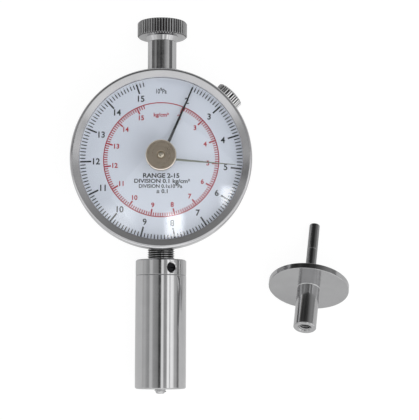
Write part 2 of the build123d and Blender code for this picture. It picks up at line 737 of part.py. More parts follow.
def lower_stem():
    """Threaded stem pressed in the case, bored as the plunger's guide."""
    bore = ROD_RADIUS + RUNNING_FIT
    stem_end = spigot_end + FREE_GAP
    groove_width = THREAD_PITCH * THREAD_GROOVE
    points = [(bore, -stem_inner), (STEM_SEAT_RADIUS, -stem_inner), (STEM_SEAT_RADIUS, -case_radius)]
    thread_start = -case_radius
    grooves = int((thread_start - collar_top) / THREAD_PITCH)
    for groove in range(grooves):
        crest = thread_start - groove * THREAD_PITCH
        points.append((THREAD_RADIUS, crest))
        points.append((THREAD_RADIUS - THREAD_DEPTH, crest - groove_width / 2))
        points.append((THREAD_RADIUS, crest - groove_width))
    points += [(THREAD_RADIUS, stem_end), (bore, stem_end)]
    return STEM * turned(points)


# The grub screw points at the stem axis from the front right of the collar
GRUB = Pos(0, collar_top - GRUB_BELOW_TOP, AXIS_HEIGHT) * Rot(0, GRUB_ANGLE, 0)


def collar():
    """Locking collar on the threaded stem, with the spigot that carries the barrel."""
    body = turned([
        (THREAD_RADIUS + SEAT_FIT / 2, collar_top),
        (COLLAR_RADIUS - EDGE_CHAMFER, collar_top),
        (COLLAR_RADIUS, collar_top - EDGE_CHAMFER),
        (COLLAR_RADIUS, barrel_top),
        (COLLAR_SPIGOT_RADIUS, barrel_top),
        (COLLAR_SPIGOT_RADIUS, spigot_end),
        (THREAD_RADIUS + SEAT_FIT / 2, spigot_end),
    ])
    grub_hole = turned([
        (0, 0),
        (GRUB_RADIUS, 0),
        (GRUB_RADIUS, COLLAR_RADIUS - GRUB_CHAMFER),
        (GRUB_RADIUS + GRUB_CHAMFER + 1, COLLAR_RADIUS + 1),
        (0, COLLAR_RADIUS + 1),
    ])
    return STEM * body - GRUB * grub_hole


def grub_screw():
    """Slotted grub screw, sunk in the collar."""
    end = COLLAR_RADIUS - GRUB_RECESS
    screw = bar(GRUB_RADIUS - SEAT_FIT, THREAD_RADIUS + SEAT_FIT, end)
    screw -= block(
        (-GRUB_RADIUS, GRUB_RADIUS),
        (-GRUB_SLOT_WIDTH / 2, GRUB_SLOT_WIDTH / 2),
        (end - GRUB_SLOT_DEPTH, end + 1),
    )
    return GRUB * screw


def barrel():
    """Spring barrel, bored from the top and closed by a guide nose."""
    guide = SLEEVE_RADIUS + RUNNING_FIT
    counterbore_end = spigot_end - FACE_GAP
    return STEM * turned([
        (COLLAR_SPIGOT_RADIUS + SEAT_FIT / 2, barrel_top),
        (COLLAR_RADIUS, barrel_top),
        (COLLAR_RADIUS, barrel_end + EDGE_CHAMFER),
        (COLLAR_RADIUS - EDGE_CHAMFER, barrel_end),
        (guide + MOUTH_CHAMFER, barrel_end),
        (guide, barrel_end + MOUTH_CHAMFER),
        (guide, nose_top),
        (BARREL_BORE, nose_top),
        (BARREL_BORE, counterbore_end),
        (COLLAR_SPIGOT_RADIUS + SEAT_FIT / 2, counterbore_end),
    ])


def spring_washer():
    """Washer that seats the measuring spring under the collar."""
    return STEM * ring(WASHER_BORE, WASHER_RADIUS, spring_top, spigot_end)


def measuring_spring():
    """Compression spring with ground ends, its round wire drawn with eight sides."""
    length = spring_top - flange_top
    pitch = length / SPRING_TURNS
    overrun = SPRING_OVERRUN * pitch
    path = Helix(pitch=pitch, height=length + 2 * overrun, radius=SPRING_MEAN_RADIUS)
    start = Plane(origin=path @ 0, z_dir=path % 0)
    wire = RegularPolygon(SPRING_WIRE / 2, 8)
    coil = Pos(0, 0, flange_top - overrun) * sweep(start * wire, path=path, is_frenet=True)
    reach = SPRING_MEAN_RADIUS + SPRING_WIRE
    return STEM * (coil & bar(reach, flange_top, spring_top))


def plunger():
    """Plunger: threaded stud, guide, spring flange and rod, turned in one piece."""
    body = turned([
        (0, stud_end),
        (STUD_RADIUS - STUD_CHAMFER, stud_end),
        (STUD_RADIUS, stud_end + STUD_CHAMFER),
        (STUD_RADIUS, plunger_shoulder),
        (SLEEVE_RADIUS - EDGE_CHAMFER, plunger_shoulder),
        (SLEEVE_RADIUS, plunger_shoulder + EDGE_CHAMFER),
        (SLEEVE_RADIUS, nose_top),
        (FLANGE_RADIUS, nose_top),
        (FLANGE_RADIUS, flange_top),
        (ROD_RADIUS, flange_top),
        (ROD_RADIUS, rod_end - ROD_END_CHAMFER),
        (ROD_RADIUS - ROD_END_CHAMFER, rod_end),
        (0, rod_end),
    ])
    rod_span = (AXIS_HEIGHT - ROD_RADIUS, AXIS_HEIGHT + ROD_RADIUS)
    body = STEM * body - block((-2 * ROD_RADIUS, rod_flat), (rack_low, rack_high), rod_span)
    for place in rack_screw_places:
        body -= Pos(0, place, AXIS_HEIGHT) * Rot(0, -90, 0) * bar(RACK_SCREW_RADIUS + SEAT_FIT, 0, ROD_RADIUS)
    return body


def rack():
    """Rack bar screwed to the plunger's flat, with the key that stops it turning."""
    low = AXIS_HEIGHT - RACK_BOTTOM_DROP
    top = web_rear - FREE_GAP
    tooth_base = pinion_base
    root_face = rack_face - DEDENDUM
    bar_body = block((rack_back, rod_flat), (rack_low, rack_high), (low, tooth_base))
    bar_body += block((rack_back, root_face), (rack_low, rack_high), (tooth_base, top))
    slope = tan(radians(PRESSURE_ANGLE))
    half = (rack_pitch / 2 - BACKLASH) / 2
    root_half = half + DEDENDUM * slope
    tip_half = half - ADDENDUM * slope
    tip_face = rack_face + ADDENDUM
    first = int(rack_low / rack_pitch) + 1
    last = int(rack_high / rack_pitch)
    for index in range(first, last):
        middle = index * rack_pitch
        tooth = Polyline(
            (root_face, middle - root_half),
            (tip_face, middle - tip_half),
            (tip_face, middle + tip_half),
            (root_face, middle + root_half),
            close=True,
        )
        bar_body += Pos(0, 0, tooth_base) * extrude(make_face(tooth), pinion_top - tooth_base)
    bar_body += block((key_low, key_high), (rack_low, rack_high), (top, key_top))
    for place in rack_screw_places:
        hole = bar(RACK_SCREW_RADIUS + SEAT_FIT, 0, -rack_back + 1)
        bar_body -= Pos(0, place, AXIS_HEIGHT) * Rot(0, -90, 0) * hole
    return bar_body


def rack_screws():
    """Two screws through the rack into the plunger."""
    back = -rack_back
    head_top = back + RACK_HEAD_HEIGHT
    screw = bar(RACK_SCREW_RADIUS, ROD_FLAT_DEPTH, back) + bar(RACK_SCREW_HEAD, back, head_top)
    screw -= block(
        (-RACK_SCREW_HEAD, RACK_SCREW_HEAD),
        (-RACK_SLOT_WIDTH / 2, RACK_SLOT_WIDTH / 2),
        (head_top - RACK_SLOT_DEPTH, head_top + 1),
    )
    screws = [Pos(0, place, AXIS_HEIGHT) * Rot(0, -90, 0) * screw for place in rack_screw_places]
    return Compound(screws)


def top_stem():
    """Upper stem, a guide for the plunger's rod, with a threaded end for the knob."""
    bore = ROD_RADIUS + RUNNING_FIT
    return STEM * turned([
        (bore, stem_inner),
        (STEM_SEAT_RADIUS, stem_inner),
        (STEM_SEAT_RADIUS, shoulder_y),
        (TOP_STEM_RADIUS, shoulder_y),
        (TOP_STEM_RADIUS, stem_top),
        (TOP_SPIGOT_RADIUS, stem_top),
        (TOP_SPIGOT_RADIUS, stem_top + TOP_SPIGOT_LENGTH),
        (0, stem_top + TOP_SPIGOT_LENGTH),
        (0, stem_top - TOP_STEM_END),
        (bore, stem_top - TOP_STEM_END),
    ])


def top_knob():
    """Knurled hand knob screwed on the upper stem, with a flared boss below it."""
    edge = KNOB_RADIUS - KNOB_CHAMFER
    socket = TOP_SPIGOT_RADIUS + SEAT_FIT
    blank = turned([
        (socket, stem_top),
        (TOP_STEM_RADIUS, stem_top),
        (KNOB_FLARE_RADIUS, knob_base),
        (edge, knob_base),
        (KNOB_RADIUS, knob_base + KNOB_CHAMFER),
        (KNOB_RADIUS, knob_top - KNOB_CHAMFER),
        (edge, knob_top),
        (KNOB_DISH_RADIUS, knob_top),
        (KNOB_DISH_RADIUS - KNOB_DISH_DEPTH, knob_top - KNOB_DISH_DEPTH),
        (0, knob_top - KNOB_DISH_DEPTH),
        (0, stem_top + TOP_SPIGOT_LENGTH + SEAT_FIT),
        (socket, stem_top + TOP_SPIGOT_LENGTH + SEAT_FIT),
    ])
    flutes = fluted_bar(KNOB_RADIUS, KNOB_FLUTE_DEPTH, KNOB_FLUTES, stem_top - 1, knob_top + 1)
    return STEM * (blank & flutes)


# The laid-down head rests on its tip's edge and on the rim of its disc
disc_front = INDENTER_LENGTH
disc_back = disc_front + DISC_THICKNESS
head_end = disc_back + SLEEVE_LENGTH
head_lean = degrees(atan((DISC_RADIUS - INDENTER_RADIUS) / (disc_front + DISC_CHAMFER - INDENTER_EDGE)))
tip_height = INDENTER_RADIUS * cos(radians(head_lean)) - INDENTER_EDGE * sin(radians(head_lean))
HEAD = Pos(HEAD_TIP_X, HEAD_TIP_Y, tip_height) * Rot(0, 0, -HEAD_HEADING) * Rot(90 - head_lean, 0, 0)


def penetrating_head():
    """Indenter and screw-on sleeve turned in one piece, with a depth line and a tapped socket."""
    mark = DEPTH_MARK_WIDTH / 2
    return HEAD * turned([
        (0, 0),
        (INDENTER_RADIUS - INDENTER_EDGE, 0),
        (INDENTER_RADIUS, INDENTER_EDGE),
        (INDENTER_RADIUS, DEPTH_MARK - mark),
        (INDENTER_RADIUS - DEPTH_MARK_DEPTH, DEPTH_MARK - mark),
        (INDENTER_RADIUS - DEPTH_MARK_DEPTH, DEPTH_MARK + mark),
        (INDENTER_RADIUS, DEPTH_MARK + mark),
        (INDENTER_RADIUS, disc_front),
        (DISC_SEAT_RADIUS, disc_front),
        (DISC_SEAT_RADIUS, disc_back),
        (SLEEVE_RADIUS, disc_back),
        (SLEEVE_RADIUS, head_end - SLEEVE_ROUND),
        (SLEEVE_RADIUS - SLEEVE_ROUND, head_end),
        (SOCKET_RADIUS + SOCKET_CHAMFER, head_end),
        (SOCKET_RADIUS, head_end - SOCKET_CHAMFER),
        (SOCKET_RADIUS, head_end - SOCKET_DEPTH),
        (0, head_end - SOCKET_DEPTH),
    ])


def splash_disc():
    """Juice guard disc pressed on the head against the sleeve."""
    rim = DISC_RADIUS - DISC_CHAMFER
    return HEAD * turned([
        (DISC_SEAT_RADIUS, disc_front),
        (rim, disc_front),
        (DISC_RADIUS, disc_front + DISC_CHAMFER),
        (DISC_RADIUS, disc_back - DISC_CHAMFER),
        (rim, disc_back),
        (DISC_SEAT_RADIUS, disc_back),
    ])


pieces = {
    "case": case,
    "back_cover": back_cover,
    "cover_screws": cover_screws,
    "bezel": bezel,
    "bezel_wire": bezel_wire,
    "dial_snap_ring": dial_snap_ring,
    "dial_plate": dial_plate,
    "spacer_ring": spacer_ring,
    "crystal": crystal,
    "reset_bush": reset_bush,
    "reset_shaft": reset_shaft,
    "reset_knob": reset_knob,
    "friction_washer": friction_washer,
    "peak_needle": peak_needle,
    "needle": needle,
    "pinion_arbor": pinion_arbor,
    "front_bush": front_bush,
    "pinion_bridge": pinion_bridge,
    "bridge_screws": bridge_screws,
    "clamp_screw": clamp_screw,
    "clamp_shoe": clamp_shoe,
    "lower_stem": lower_stem,
    "collar": collar,
    "grub_screw": grub_screw,
    "barrel": barrel,
    "spring_washer": spring_washer,
    "measuring_spring": measuring_spring,
    "plunger": plunger,
    "rack": rack,
    "rack_screws": rack_screws,
    "top_stem": top_stem,
    "top_knob": top_knob,
    "penetrating_head": penetrating_head,
    "splash_disc": splash_disc,
}

for name, make in pieces.items():
    export_step(make(), f"parts/{name}.step")

print(f"travel {travel:.3f} mm, ratio {1000 / pitch_radius:.3f} rad/m, head lean {head_lean:.2f}")
print(f"spring room {spring_top - flange_top:.2f} mm, solid length {SPRING_TURNS * SPRING_WIRE:.2f} mm")
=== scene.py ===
import bpy
from math import atan, cos, hypot, pi, radians, sin, sqrt
from mathutils import Matrix, Vector


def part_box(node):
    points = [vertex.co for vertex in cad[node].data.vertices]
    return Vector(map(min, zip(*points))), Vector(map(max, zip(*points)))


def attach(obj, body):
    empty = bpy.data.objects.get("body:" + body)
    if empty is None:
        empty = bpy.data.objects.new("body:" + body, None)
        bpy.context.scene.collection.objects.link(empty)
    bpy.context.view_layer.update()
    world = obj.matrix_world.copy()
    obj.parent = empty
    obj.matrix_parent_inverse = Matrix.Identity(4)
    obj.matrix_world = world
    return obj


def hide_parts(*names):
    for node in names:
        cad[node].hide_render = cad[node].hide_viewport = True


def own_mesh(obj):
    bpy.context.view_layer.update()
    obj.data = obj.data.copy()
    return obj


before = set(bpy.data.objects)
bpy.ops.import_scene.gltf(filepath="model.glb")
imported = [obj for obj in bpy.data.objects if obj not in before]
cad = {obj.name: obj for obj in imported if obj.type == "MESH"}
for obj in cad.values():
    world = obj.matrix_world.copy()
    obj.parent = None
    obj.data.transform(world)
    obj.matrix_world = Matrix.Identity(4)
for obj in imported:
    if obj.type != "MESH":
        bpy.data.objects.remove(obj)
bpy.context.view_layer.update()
bpy.ops.object.select_all(action="DESELECT")
stage = bpy.context.scene
stage.view_settings.view_transform = "Standard"


# The photograph is taken from nearly straight above with a long lens, below the middle of the dial.
# Its frame is 419 by 420 pixels, and the longer side spans the sensor.
MM = 0.001
view = bpy.data.cameras.new("view")
view.sensor_width = 36.0
view.lens = 111.63
view.clip_start = 10 * MM
camera = bpy.data.objects.new("camera", view)
camera.location = Vector((4.82, -62.54, 447.53)) * MM
camera.rotation_euler = (radians(6.087), radians(-1.510), radians(0.094))
stage.collection.objects.link(camera)
stage.camera = camera


# The tester lies on a white table that the photograph shows as plain white, with hardly a shadow.
# Most of its white is its own where the camera sees it, less in metal, and the rest is lit and shaded.
def linear(colour):
    """An sRGB hex colour as linear red, green, blue and full alpha."""
    levels = [int(colour[start:start + 2], 16) / 255 for start in (1, 3, 5)]
    return (*(c / 12.92 if c <= 0.04045 else ((c + 0.055) / 1.055) ** 2.4 for c in levels), 1)


def add_node(tree, kind, settings=None, feeds=None):
    """One node of that kind with its settings; an input is fed a value or another node's output."""
    made = tree.nodes.new("ShaderNode" + kind)
    for name, value in (settings or {}).items():
        setattr(made, name, value)
    for socket, source in (feeds or {}).items():
        if isinstance(source, bpy.types.NodeSocket):
            tree.links.new(source, made.inputs[socket])
        else:
            made.inputs[socket].default_value = source
    return made


def empty_material(name):
    """A new material with an empty node tree, as the material and the tree."""
    made = bpy.data.materials.new(name)
    made.use_nodes = True
    made.node_tree.nodes.clear()
    return made, made.node_tree


def show(tree, shader):
    """Link a shader to the material's surface."""
    add_node(tree, "OutputMaterial", {}, {"Surface": shader.outputs[0]})


OWN_WHITE = 0.88
OWN_STRENGTH = 1.05
METAL_SHARE = 0.40
METAL_STRENGTH = 0.55
bpy.ops.mesh.primitive_plane_add(size=4, location=(0, 0, -0.05 * MM))
table = bpy.context.object
table.name = "table"
table_white, tree = empty_material("white_table")
ray = add_node(tree, "LightPath")
metal = add_node(tree, "Math", {"operation": "MAXIMUM"},
                 {0: ray.outputs["Is Glossy Ray"], 1: ray.outputs["Is Transmission Ray"]})
metal = add_node(tree, "Math", {"operation": "MULTIPLY"}, {0: metal.outputs[0], 1: METAL_SHARE})
seen = add_node(tree, "Math", {"operation": "MULTIPLY"}, {0: ray.outputs["Is Camera Ray"], 1: OWN_WHITE})
share = add_node(tree, "Math", {"operation": "MAXIMUM"}, {0: metal.outputs[0], 1: seen.outputs[0]})
lit = add_node(tree, "BsdfDiffuse", {}, {"Color": linear("#f7f7f7")})
strength = add_node(tree, "MapRange", {}, {"Value": ray.outputs["Is Camera Ray"],
                                           "To Min": METAL_STRENGTH, "To Max": OWN_STRENGTH})
own = add_node(tree, "Emission", {}, {"Color": (1, 1, 1, 1), "Strength": strength.outputs[0]})
show(tree, add_node(tree, "MixShader", {}, {0: share.outputs[0], 1: lit.outputs[0], 2: own.outputs[0]}))
table.data.materials.append(table_white)


# The studio: pale and dark cards stand along both sides of the tester and show as stripes in its steel.
# Each pair is a card's angle from overhead towards +X, in degrees, and its grey.
# Past the dial, towards the hand knob, the cards are darker.
SIDE_CARDS = ((-90, 0.60), (-74, 0.62), (-66, 0.46), (-54, 0.38), (-49, 0.74), (-40, 0.76), (-33, 0.44),
              (-20, 0.36), (-12, 0.30), (-8, 0.06), (0, 0.06), (4, 1.08), (11, 1.15), (15, 0.40), (27, 0.42),
              (31, 1.45), (38, 1.45), (42, 0.55), (47, 1.40), (59, 1.25), (64, 0.62), (76, 0.55),
              (82, 0.22), (90, 0.25))
FAR_CARDS = ((-90, 0.30), (-77, 0.14), (-63, 0.13), (-57, 0.34), (-46, 0.26), (-40, 0.06), (-30, 0.05),
             (-23, 0.13), (-16, 0.05), (-3, 0.03), (2, 0.09), (12, 0.08), (17, 0.20), (27, 0.36),
             (40, 0.55), (54, 0.72), (58, 0.28), (66, 0.16), (82, 0.18), (90, 0.30))
FAR_FROM = (0.16, 0.19)  # a direction's part along +Y, over which the far cards take over

# Towards the tester's ends the studio has cards that run right across it: pale near the photographer and
# dark beyond the knob. Each pair is a direction's part along +Y and the grey there, and then how much of
# the cards along the sides these ones cover.
END_CARDS = ((-1.0, 1.3), (-0.56, 0.95), (-0.38, 0.96), (-0.31, 0.86), (-0.23, 0.95), (-0.13, 1.0),
             (0.0, 0.80), (0.12, 0.64), (0.26, 0.54), (0.38, 0.38), (0.50, 0.30), (0.58, 0.29), (0.66, 0.21),
             (0.74, 0.05), (0.86, 0.03), (0.93, 0.25), (1.0, 0.6))
END_SHARE = ((-1.0, 1), (-0.75, 1), (-0.66, 0.3), (-0.50, 0.3), (-0.44, 1), (-0.11, 1), (-0.05, 0),
             (0.09, 0), (0.115, 0.8), (0.15, 0.8), (0.17, 0), (0.24, 0), (0.265, 0.85), (0.60, 0.85),
             (0.72, 0.6), (1.0, 0.6))
world = bpy.data.worlds.new("studio")
stage.world = world
world.use_nodes = True
tree = world.node_tree
tree.nodes.clear()


def grey_ramp(tree, source, stops):
    """A ramp of greys over a value, from its (value, grey) stops in rising order."""
    low, high = stops[0][0], stops[-1][0]
    spread = add_node(tree, "MapRange", {}, {"Value": source, "From Min": low, "From Max": high})
    ramp = add_node(tree, "ValToRGB", {}, {0: spread.outputs[0]})
    marks = ramp.color_ramp.elements
    for value, grey in stops[1:-1]:
        marks.new((value - low) / (high - low)).color = (grey, grey, grey, 1)
    marks[0].color = (*[stops[0][1]] * 3, 1)
    marks[-1].color = (*[stops[-1][1]] * 3, 1)
    return ramp.outputs[0]


way = add_node(tree, "SeparateXYZ", {}, {0: add_node(tree, "TexCoord").outputs["Generated"]})
tilt = add_node(tree, "Math", {"operation": "ARCSINE"}, {0: way.outputs["X"]})
degrees_over = add_node(tree, "Math", {"operation": "DEGREES"}, {0: tilt.outputs[0]})
near_sides = grey_ramp(tree, degrees_over.outputs[0], SIDE_CARDS)
far_sides = grey_ramp(tree, degrees_over.outputs[0], FAR_CARDS)
far_share = add_node(tree, "MapRange", {"interpolation_type": "SMOOTHSTEP"},
                     {"Value": way.outputs["Y"], "From Min": FAR_FROM[0], "From Max": FAR_FROM[1]})
sides = add_node(tree, "Mix", {"data_type": "RGBA"}, {0: far_share.outputs[0], 6: near_sides, 7: far_sides})
ends = grey_ramp(tree, way.outputs["Y"], END_CARDS)
end_share = grey_ramp(tree, way.outputs["Y"], END_SHARE)
cards = add_node(tree, "Mix", {"data_type": "RGBA"}, {0: end_share, 6: sides.outputs[2], 7: ends})

# The smooth crystal mirrors a dim room, with two windows near the photographer as two pale glares and a wall
# at the lower left as a faint one: the middle and half size of each, as parts of a direction's X and Y,
# how far its edge fades, and how bright it is.
ROOM = 0.18
WINDOWS = (((0.10, -0.42), (0.07, 0.10), 0.035, 6.0), ((0.54, -0.18), (0.06, 0.09), 0.035, 6.0),
           ((-0.40, -0.38), (0.17, 0.12), 0.07, 2.2))
room = ROOM
for middle, half, fade, light in WINDOWS:
    pane = light
    for axis, centre, reach in zip("XY", middle, half):
        off = add_node(tree, "Math", {"operation": "SUBTRACT"}, {0: way.outputs[axis], 1: centre})
        off = add_node(tree, "Math", {"operation": "ABSOLUTE"}, {0: off.outputs[0]})
        pane = add_node(tree, "MapRange", {"interpolation_type": "SMOOTHSTEP"},
                        {"Value": off.outputs[0], "From Min": reach - fade, "From Max": reach + fade,
                         "To Min": pane, "To Max": 0}).outputs[0]
    room = add_node(tree, "Math", {"operation": "ADD"}, {0: room, 1: pane}).outputs[0]
ray = add_node(tree, "LightPath")
room = add_node(tree, "CombineXYZ", {}, {axis: room for axis in "XYZ"})
mirrored = add_node(tree, "Mix", {"data_type": "RGBA"},
                    {0: ray.outputs["Is Singular Ray"], 6: cards.outputs[2], 7: room.outputs[0]})
shown = add_node(tree, "Mix", {"data_type": "RGBA"},
                 {0: ray.outputs["Is Camera Ray"], 6: mirrored.outputs[2], 7: (1, 1, 1, 1)})
sky = add_node(tree, "Background", {}, {"Color": shown.outputs[2], "Strength": 1.0})
add_node(tree, "OutputWorld", {}, {"Surface": sky.outputs[0]})

# One large softbox stands over the lower right and leaves the soft shadow of the reset knob on the dial
KEY_PLACE = Vector((0.16, -0.15, 0.70))
lamp = bpy.data.lights.new("softbox", "AREA")
lamp.shape = "SQUARE"
lamp.size = 0.80
lamp.energy = 2.35
softbox = bpy.data.objects.new("softbox", lamp)
softbox.location = KEY_PLACE
softbox.rotation_euler = KEY_PLACE.to_track_quat("Z", "Y").to_euler()
softbox.visible_glossy = False
stage.collection.objects.link(softbox)


# The case is a cup turned from brass with a web across its front, chromed and left satin on the side.
# The cover closes its back with four countersunk screws in pillars of the case.
def about(tree, place):
    """Object coordinates turned so that a piece's own axis is Z: distance from it, and height along it."""
    spot = add_node(tree, "TexCoord").outputs["Object"]
    shift, turn, _ = place.decompose()
    own = add_node(tree, "Mapping", {"vector_type": "TEXTURE"},
                   {"Vector": spot, "Location": shift, "Rotation": turn.to_euler()})
    parts = add_node(tree, "SeparateXYZ", {}, {0: own.outputs[0]})
    flat = add_node(tree, "CombineXYZ", {}, {"X": parts.outputs["X"], "Y": parts.outputs["Y"]})
    reach = add_node(tree, "VectorMath", {"operation": "LENGTH"}, {0: flat.outputs[0]})
    return own.outputs[0], reach.outputs["Value"], parts.outputs["Z"]


def turned_metal(name, colour, gloss, place=Matrix(), line=0.22, depth=0.0006, lively=0.05, groove_shade=None):
    """Metal cut on a lathe: fine rings about the piece's axis, with faint marks of handling between them.

    colour is its face colour, gloss its roughness, line the width of a ring in millimetres, depth how deep
    the rings are cut, and lively how much the roughness wanders. Real rings are finer, about 0.05 mm, and
    are drawn as coarse as this to show. The last argument is painted shade in flutes or a thread: its root
    and crest radius and how dark it is."""
    made, tree = empty_material(name)
    own, reach, height = about(tree, place)
    rings = add_node(tree, "CombineXYZ", {}, {"X": reach, "Y": height})
    cut = add_node(tree, "TexNoise", {},
                   {"Vector": rings.outputs[0], "Scale": 1 / (line * MM), "Detail": 3.0})
    cloud = add_node(tree, "TexNoise", {}, {"Vector": own, "Scale": 1 / (5 * MM), "Detail": 4.0})
    streak = add_node(tree, "Math", {"operation": "ADD"}, {0: cut.outputs["Fac"], 1: cloud.outputs["Fac"]})
    rough = add_node(tree, "MapRange", {}, {"Value": streak.outputs[0], "From Min": 0.6, "From Max": 1.4,
                                            "To Min": max(gloss - lively, 0.02), "To Max": gloss + lively})
    tint = linear(colour)
    shade = add_node(tree, "MapRange", {}, {"Value": cloud.outputs["Fac"], "From Min": 0.3, "From Max": 0.7,
                                            "To Min": 0.94, "To Max": 1.0})
    face = add_node(tree, "VectorMath", {"operation": "SCALE"}, {0: tint[:3], "Scale": shade.outputs[0]})
    # Painted shade: the colour darkens from a groove's crest down to its root, where the grooves lie in shade
    if groove_shade:
        root, crest, dark = groove_shade[0] * MM, groove_shade[1] * MM, groove_shade[2]
        deep = crest - root
        painted_shade = grey_ramp(tree, reach, ((root - deep, 1), (root - 0.2 * deep, 1), (root, dark),
                                       (root + 0.35 * deep, dark), (crest, 1)))
        face = add_node(tree, "VectorMath", {"operation": "MULTIPLY"}, {0: face.outputs[0], 1: painted_shade})
    relief = add_node(tree, "Bump", {},
                      {"Height": cut.outputs["Fac"], "Distance": depth * MM, "Strength": 1.0})
    metal = add_node(tree, "BsdfPrincipled", {}, {"Base Color": face.outputs[0], "Metallic": 1.0,
                                                  "Roughness": rough.outputs[0], "Normal": relief.outputs[0]})
    show(tree, metal)
    return made


def dress(material, *nodes):
    """Give CAD nodes a material."""
    for node in nodes:
        for holder in cad[node].material_slots:
            holder.material = material


# Satin chrome keeps the marks of the lathe, so its shine is soft and drawn out round the case
satin_chrome = turned_metal("satin_chrome", "#cdcdce", 0.24, line=0.30, depth=0.0012)
dress(satin_chrome, "case")

# The cover was faced with a coarser cut, which shows as rings and dulls it a little more
turned_cover = turned_metal("turned_cover", "#c9c9ca", 0.28, line=0.35, depth=0.0020)
dress(turned_cover, "back_cover")

# Screw heads are turned and left bright, greyer than chrome
bright_screw_steel = turned_metal("bright_screw_steel", "#bbbbbc", 0.22)
dress(bright_screw_steel, "cover_screws", "bridge_screws", "rack_screws")


# The movement: a steel pinion arbor between a brass bush in the case web and a brass bridge, and the rack
# on the plunger that turns it. All are inside the case.
GRAIN_DEPTH = 0.001


def cast_or_rolled(name, colour, gloss, metallic, grain):
    """A plain finish with a fine even grain: its colour, roughness, metal share and grain in millimetres.

    The real grain is finer and is drawn as coarse as this to show."""
    made, tree = empty_material(name)
    spot = add_node(tree, "TexCoord").outputs["Object"]
    fine = add_node(tree, "TexNoise", {}, {"Vector": spot, "Scale": 1 / (grain * MM), "Detail": 3.0})
    rough = add_node(tree, "MapRange", {}, {"Value": fine.outputs["Fac"], "From Min": 0.3, "From Max": 0.7,
                                            "To Min": gloss * 0.8, "To Max": gloss * 1.2})
    shade = add_node(tree, "MapRange", {}, {"Value": fine.outputs["Fac"], "From Min": 0.3, "From Max": 0.7,
                                            "To Min": 0.92, "To Max": 1.0})
    face = add_node(tree, "VectorMath", {"operation": "SCALE"},
                    {0: linear(colour)[:3], "Scale": shade.outputs[0]})
    relief = add_node(tree, "Bump", {},
                      {"Height": fine.outputs["Fac"], "Distance": GRAIN_DEPTH * MM, "Strength": 1.0})
    surface = add_node(tree, "BsdfPrincipled", {}, {"Base Color": face.outputs[0], "Metallic": metallic,
                                                    "Roughness": rough.outputs[0],
                                                    "Normal": relief.outputs[0]})
    show(tree, surface)
    return made


# Plain brass, milled and turned, stays warm and clean inside the closed case
movement_brass = cast_or_rolled("movement_brass", "#c9a660", 0.28, 1.0, 0.3)
dress(movement_brass, "front_bush", "pinion_bridge", "reset_bush")

# Cut steel of the arbor and rack is a neutral grey with a clean shine
movement_steel = cast_or_rolled("movement_steel", "#b2b2b3", 0.25, 1.0, 0.3)
dress(movement_steel, "pinion_arbor", "rack")


# The stems, collar and barrel are turned from steel bar, polished and chromed, on one axis along the tester.
# They are screwed and pressed together, so only a fine line shows where one ends.
axis_height = (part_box("barrel")[0].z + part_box("barrel")[1].z) / 2
ALONG = Matrix.Translation((0, 0, axis_height)) @ Matrix.Rotation(radians(-90), 4, "X")
POLE = 0.001  # radius in place of zero, closed again when the points are merged


def turned(name, outline, place=Matrix(), sides=160, edge=0.1):
    """A turned piece: a circle is extruded and resized from point to point of its (radius, height) outline.

    The outline is in millimetres about local Z, and is closed or ends on the axis. edge is how far its
    edges are rounded."""
    bpy.ops.object.select_all(action="DESELECT")
    radius, height = outline[0]
    bpy.ops.mesh.primitive_circle_add(vertices=sides, radius=max(radius, POLE) * MM)
    piece = bpy.context.object
    piece.name = name
    bpy.ops.object.mode_set(mode="EDIT")
    bpy.ops.transform.translate(value=(0, 0, height * MM))
    for next_radius, next_height in outline[1:]:
        share = max(next_radius, POLE) / max(radius, POLE)
        rise = (next_height - height) * MM
        bpy.ops.mesh.extrude_region_move(TRANSFORM_OT_translate={"value": (0, 0, rise)})
        bpy.ops.transform.resize(value=(share, share, 1), center_override=(0, 0, next_height * MM))
        radius, height = next_radius, next_height
    bpy.ops.mesh.select_all(action="SELECT")
    bpy.ops.mesh.remove_doubles(threshold=2.5 * POLE * MM)
    bpy.ops.mesh.normals_make_consistent(inside=False)
    bpy.ops.object.mode_set(mode="OBJECT")
    if edge:
        round_edges(piece, edge)
    piece.data.transform(place)
    return piece


def apply(piece, kind, **settings):
    """Put one modifier on a piece and apply it."""
    bpy.ops.object.select_all(action="DESELECT")
    piece.select_set(True)
    bpy.context.view_layer.objects.active = piece
    modifier = piece.modifiers.new(kind.lower(), kind)
    for name, value in settings.items():
        setattr(modifier, name, value)
    bpy.ops.object.modifier_apply(modifier=modifier.name)


def round_edges(piece, edge, corner=14):
    """Shade a piece smooth and round each edge that turns by more than corner degrees."""
    bpy.ops.object.select_all(action="DESELECT")
    piece.select_set(True)
    bpy.context.view_layer.objects.active = piece
    bpy.ops.object.shade_smooth()
    apply(piece, "BEVEL", width=edge * MM, segments=3, limit_method="ANGLE", angle_limit=radians(corner),
          harden_normals=True, use_clamp_overlap=True)


def finish(piece, material, slot, body, *nodes):
    """Give a new piece its material and its body, and hide the nodes it stands for; its slot is not used."""
    piece.data.materials.clear()
    piece.data.materials.append(material)
    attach(piece, body)
    if nodes:
        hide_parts(*nodes)
    return piece


def span(node):
    """A node's lowest and highest place along the tester, in millimetres."""
    low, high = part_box(node)
    return low.y / MM, high.y / MM


barrel_end, barrel_top = span("barrel")
spigot_end, collar_top = span("collar")
BARREL_RADIUS = 8.5
BARREL_BORE = 5.75
NOSE_LENGTH = 15.2
GUIDE = 3.8
MOUTH_CHAMFER = 0.5
END_CHAMFER = 0.4
SPIGOT_BORE = 6.525
SPIGOT_FIT = 0.025
SPIGOT_END_GAP = 0.1
JOINT_EDGE = 0.16
nose_top = barrel_end + NOSE_LENGTH

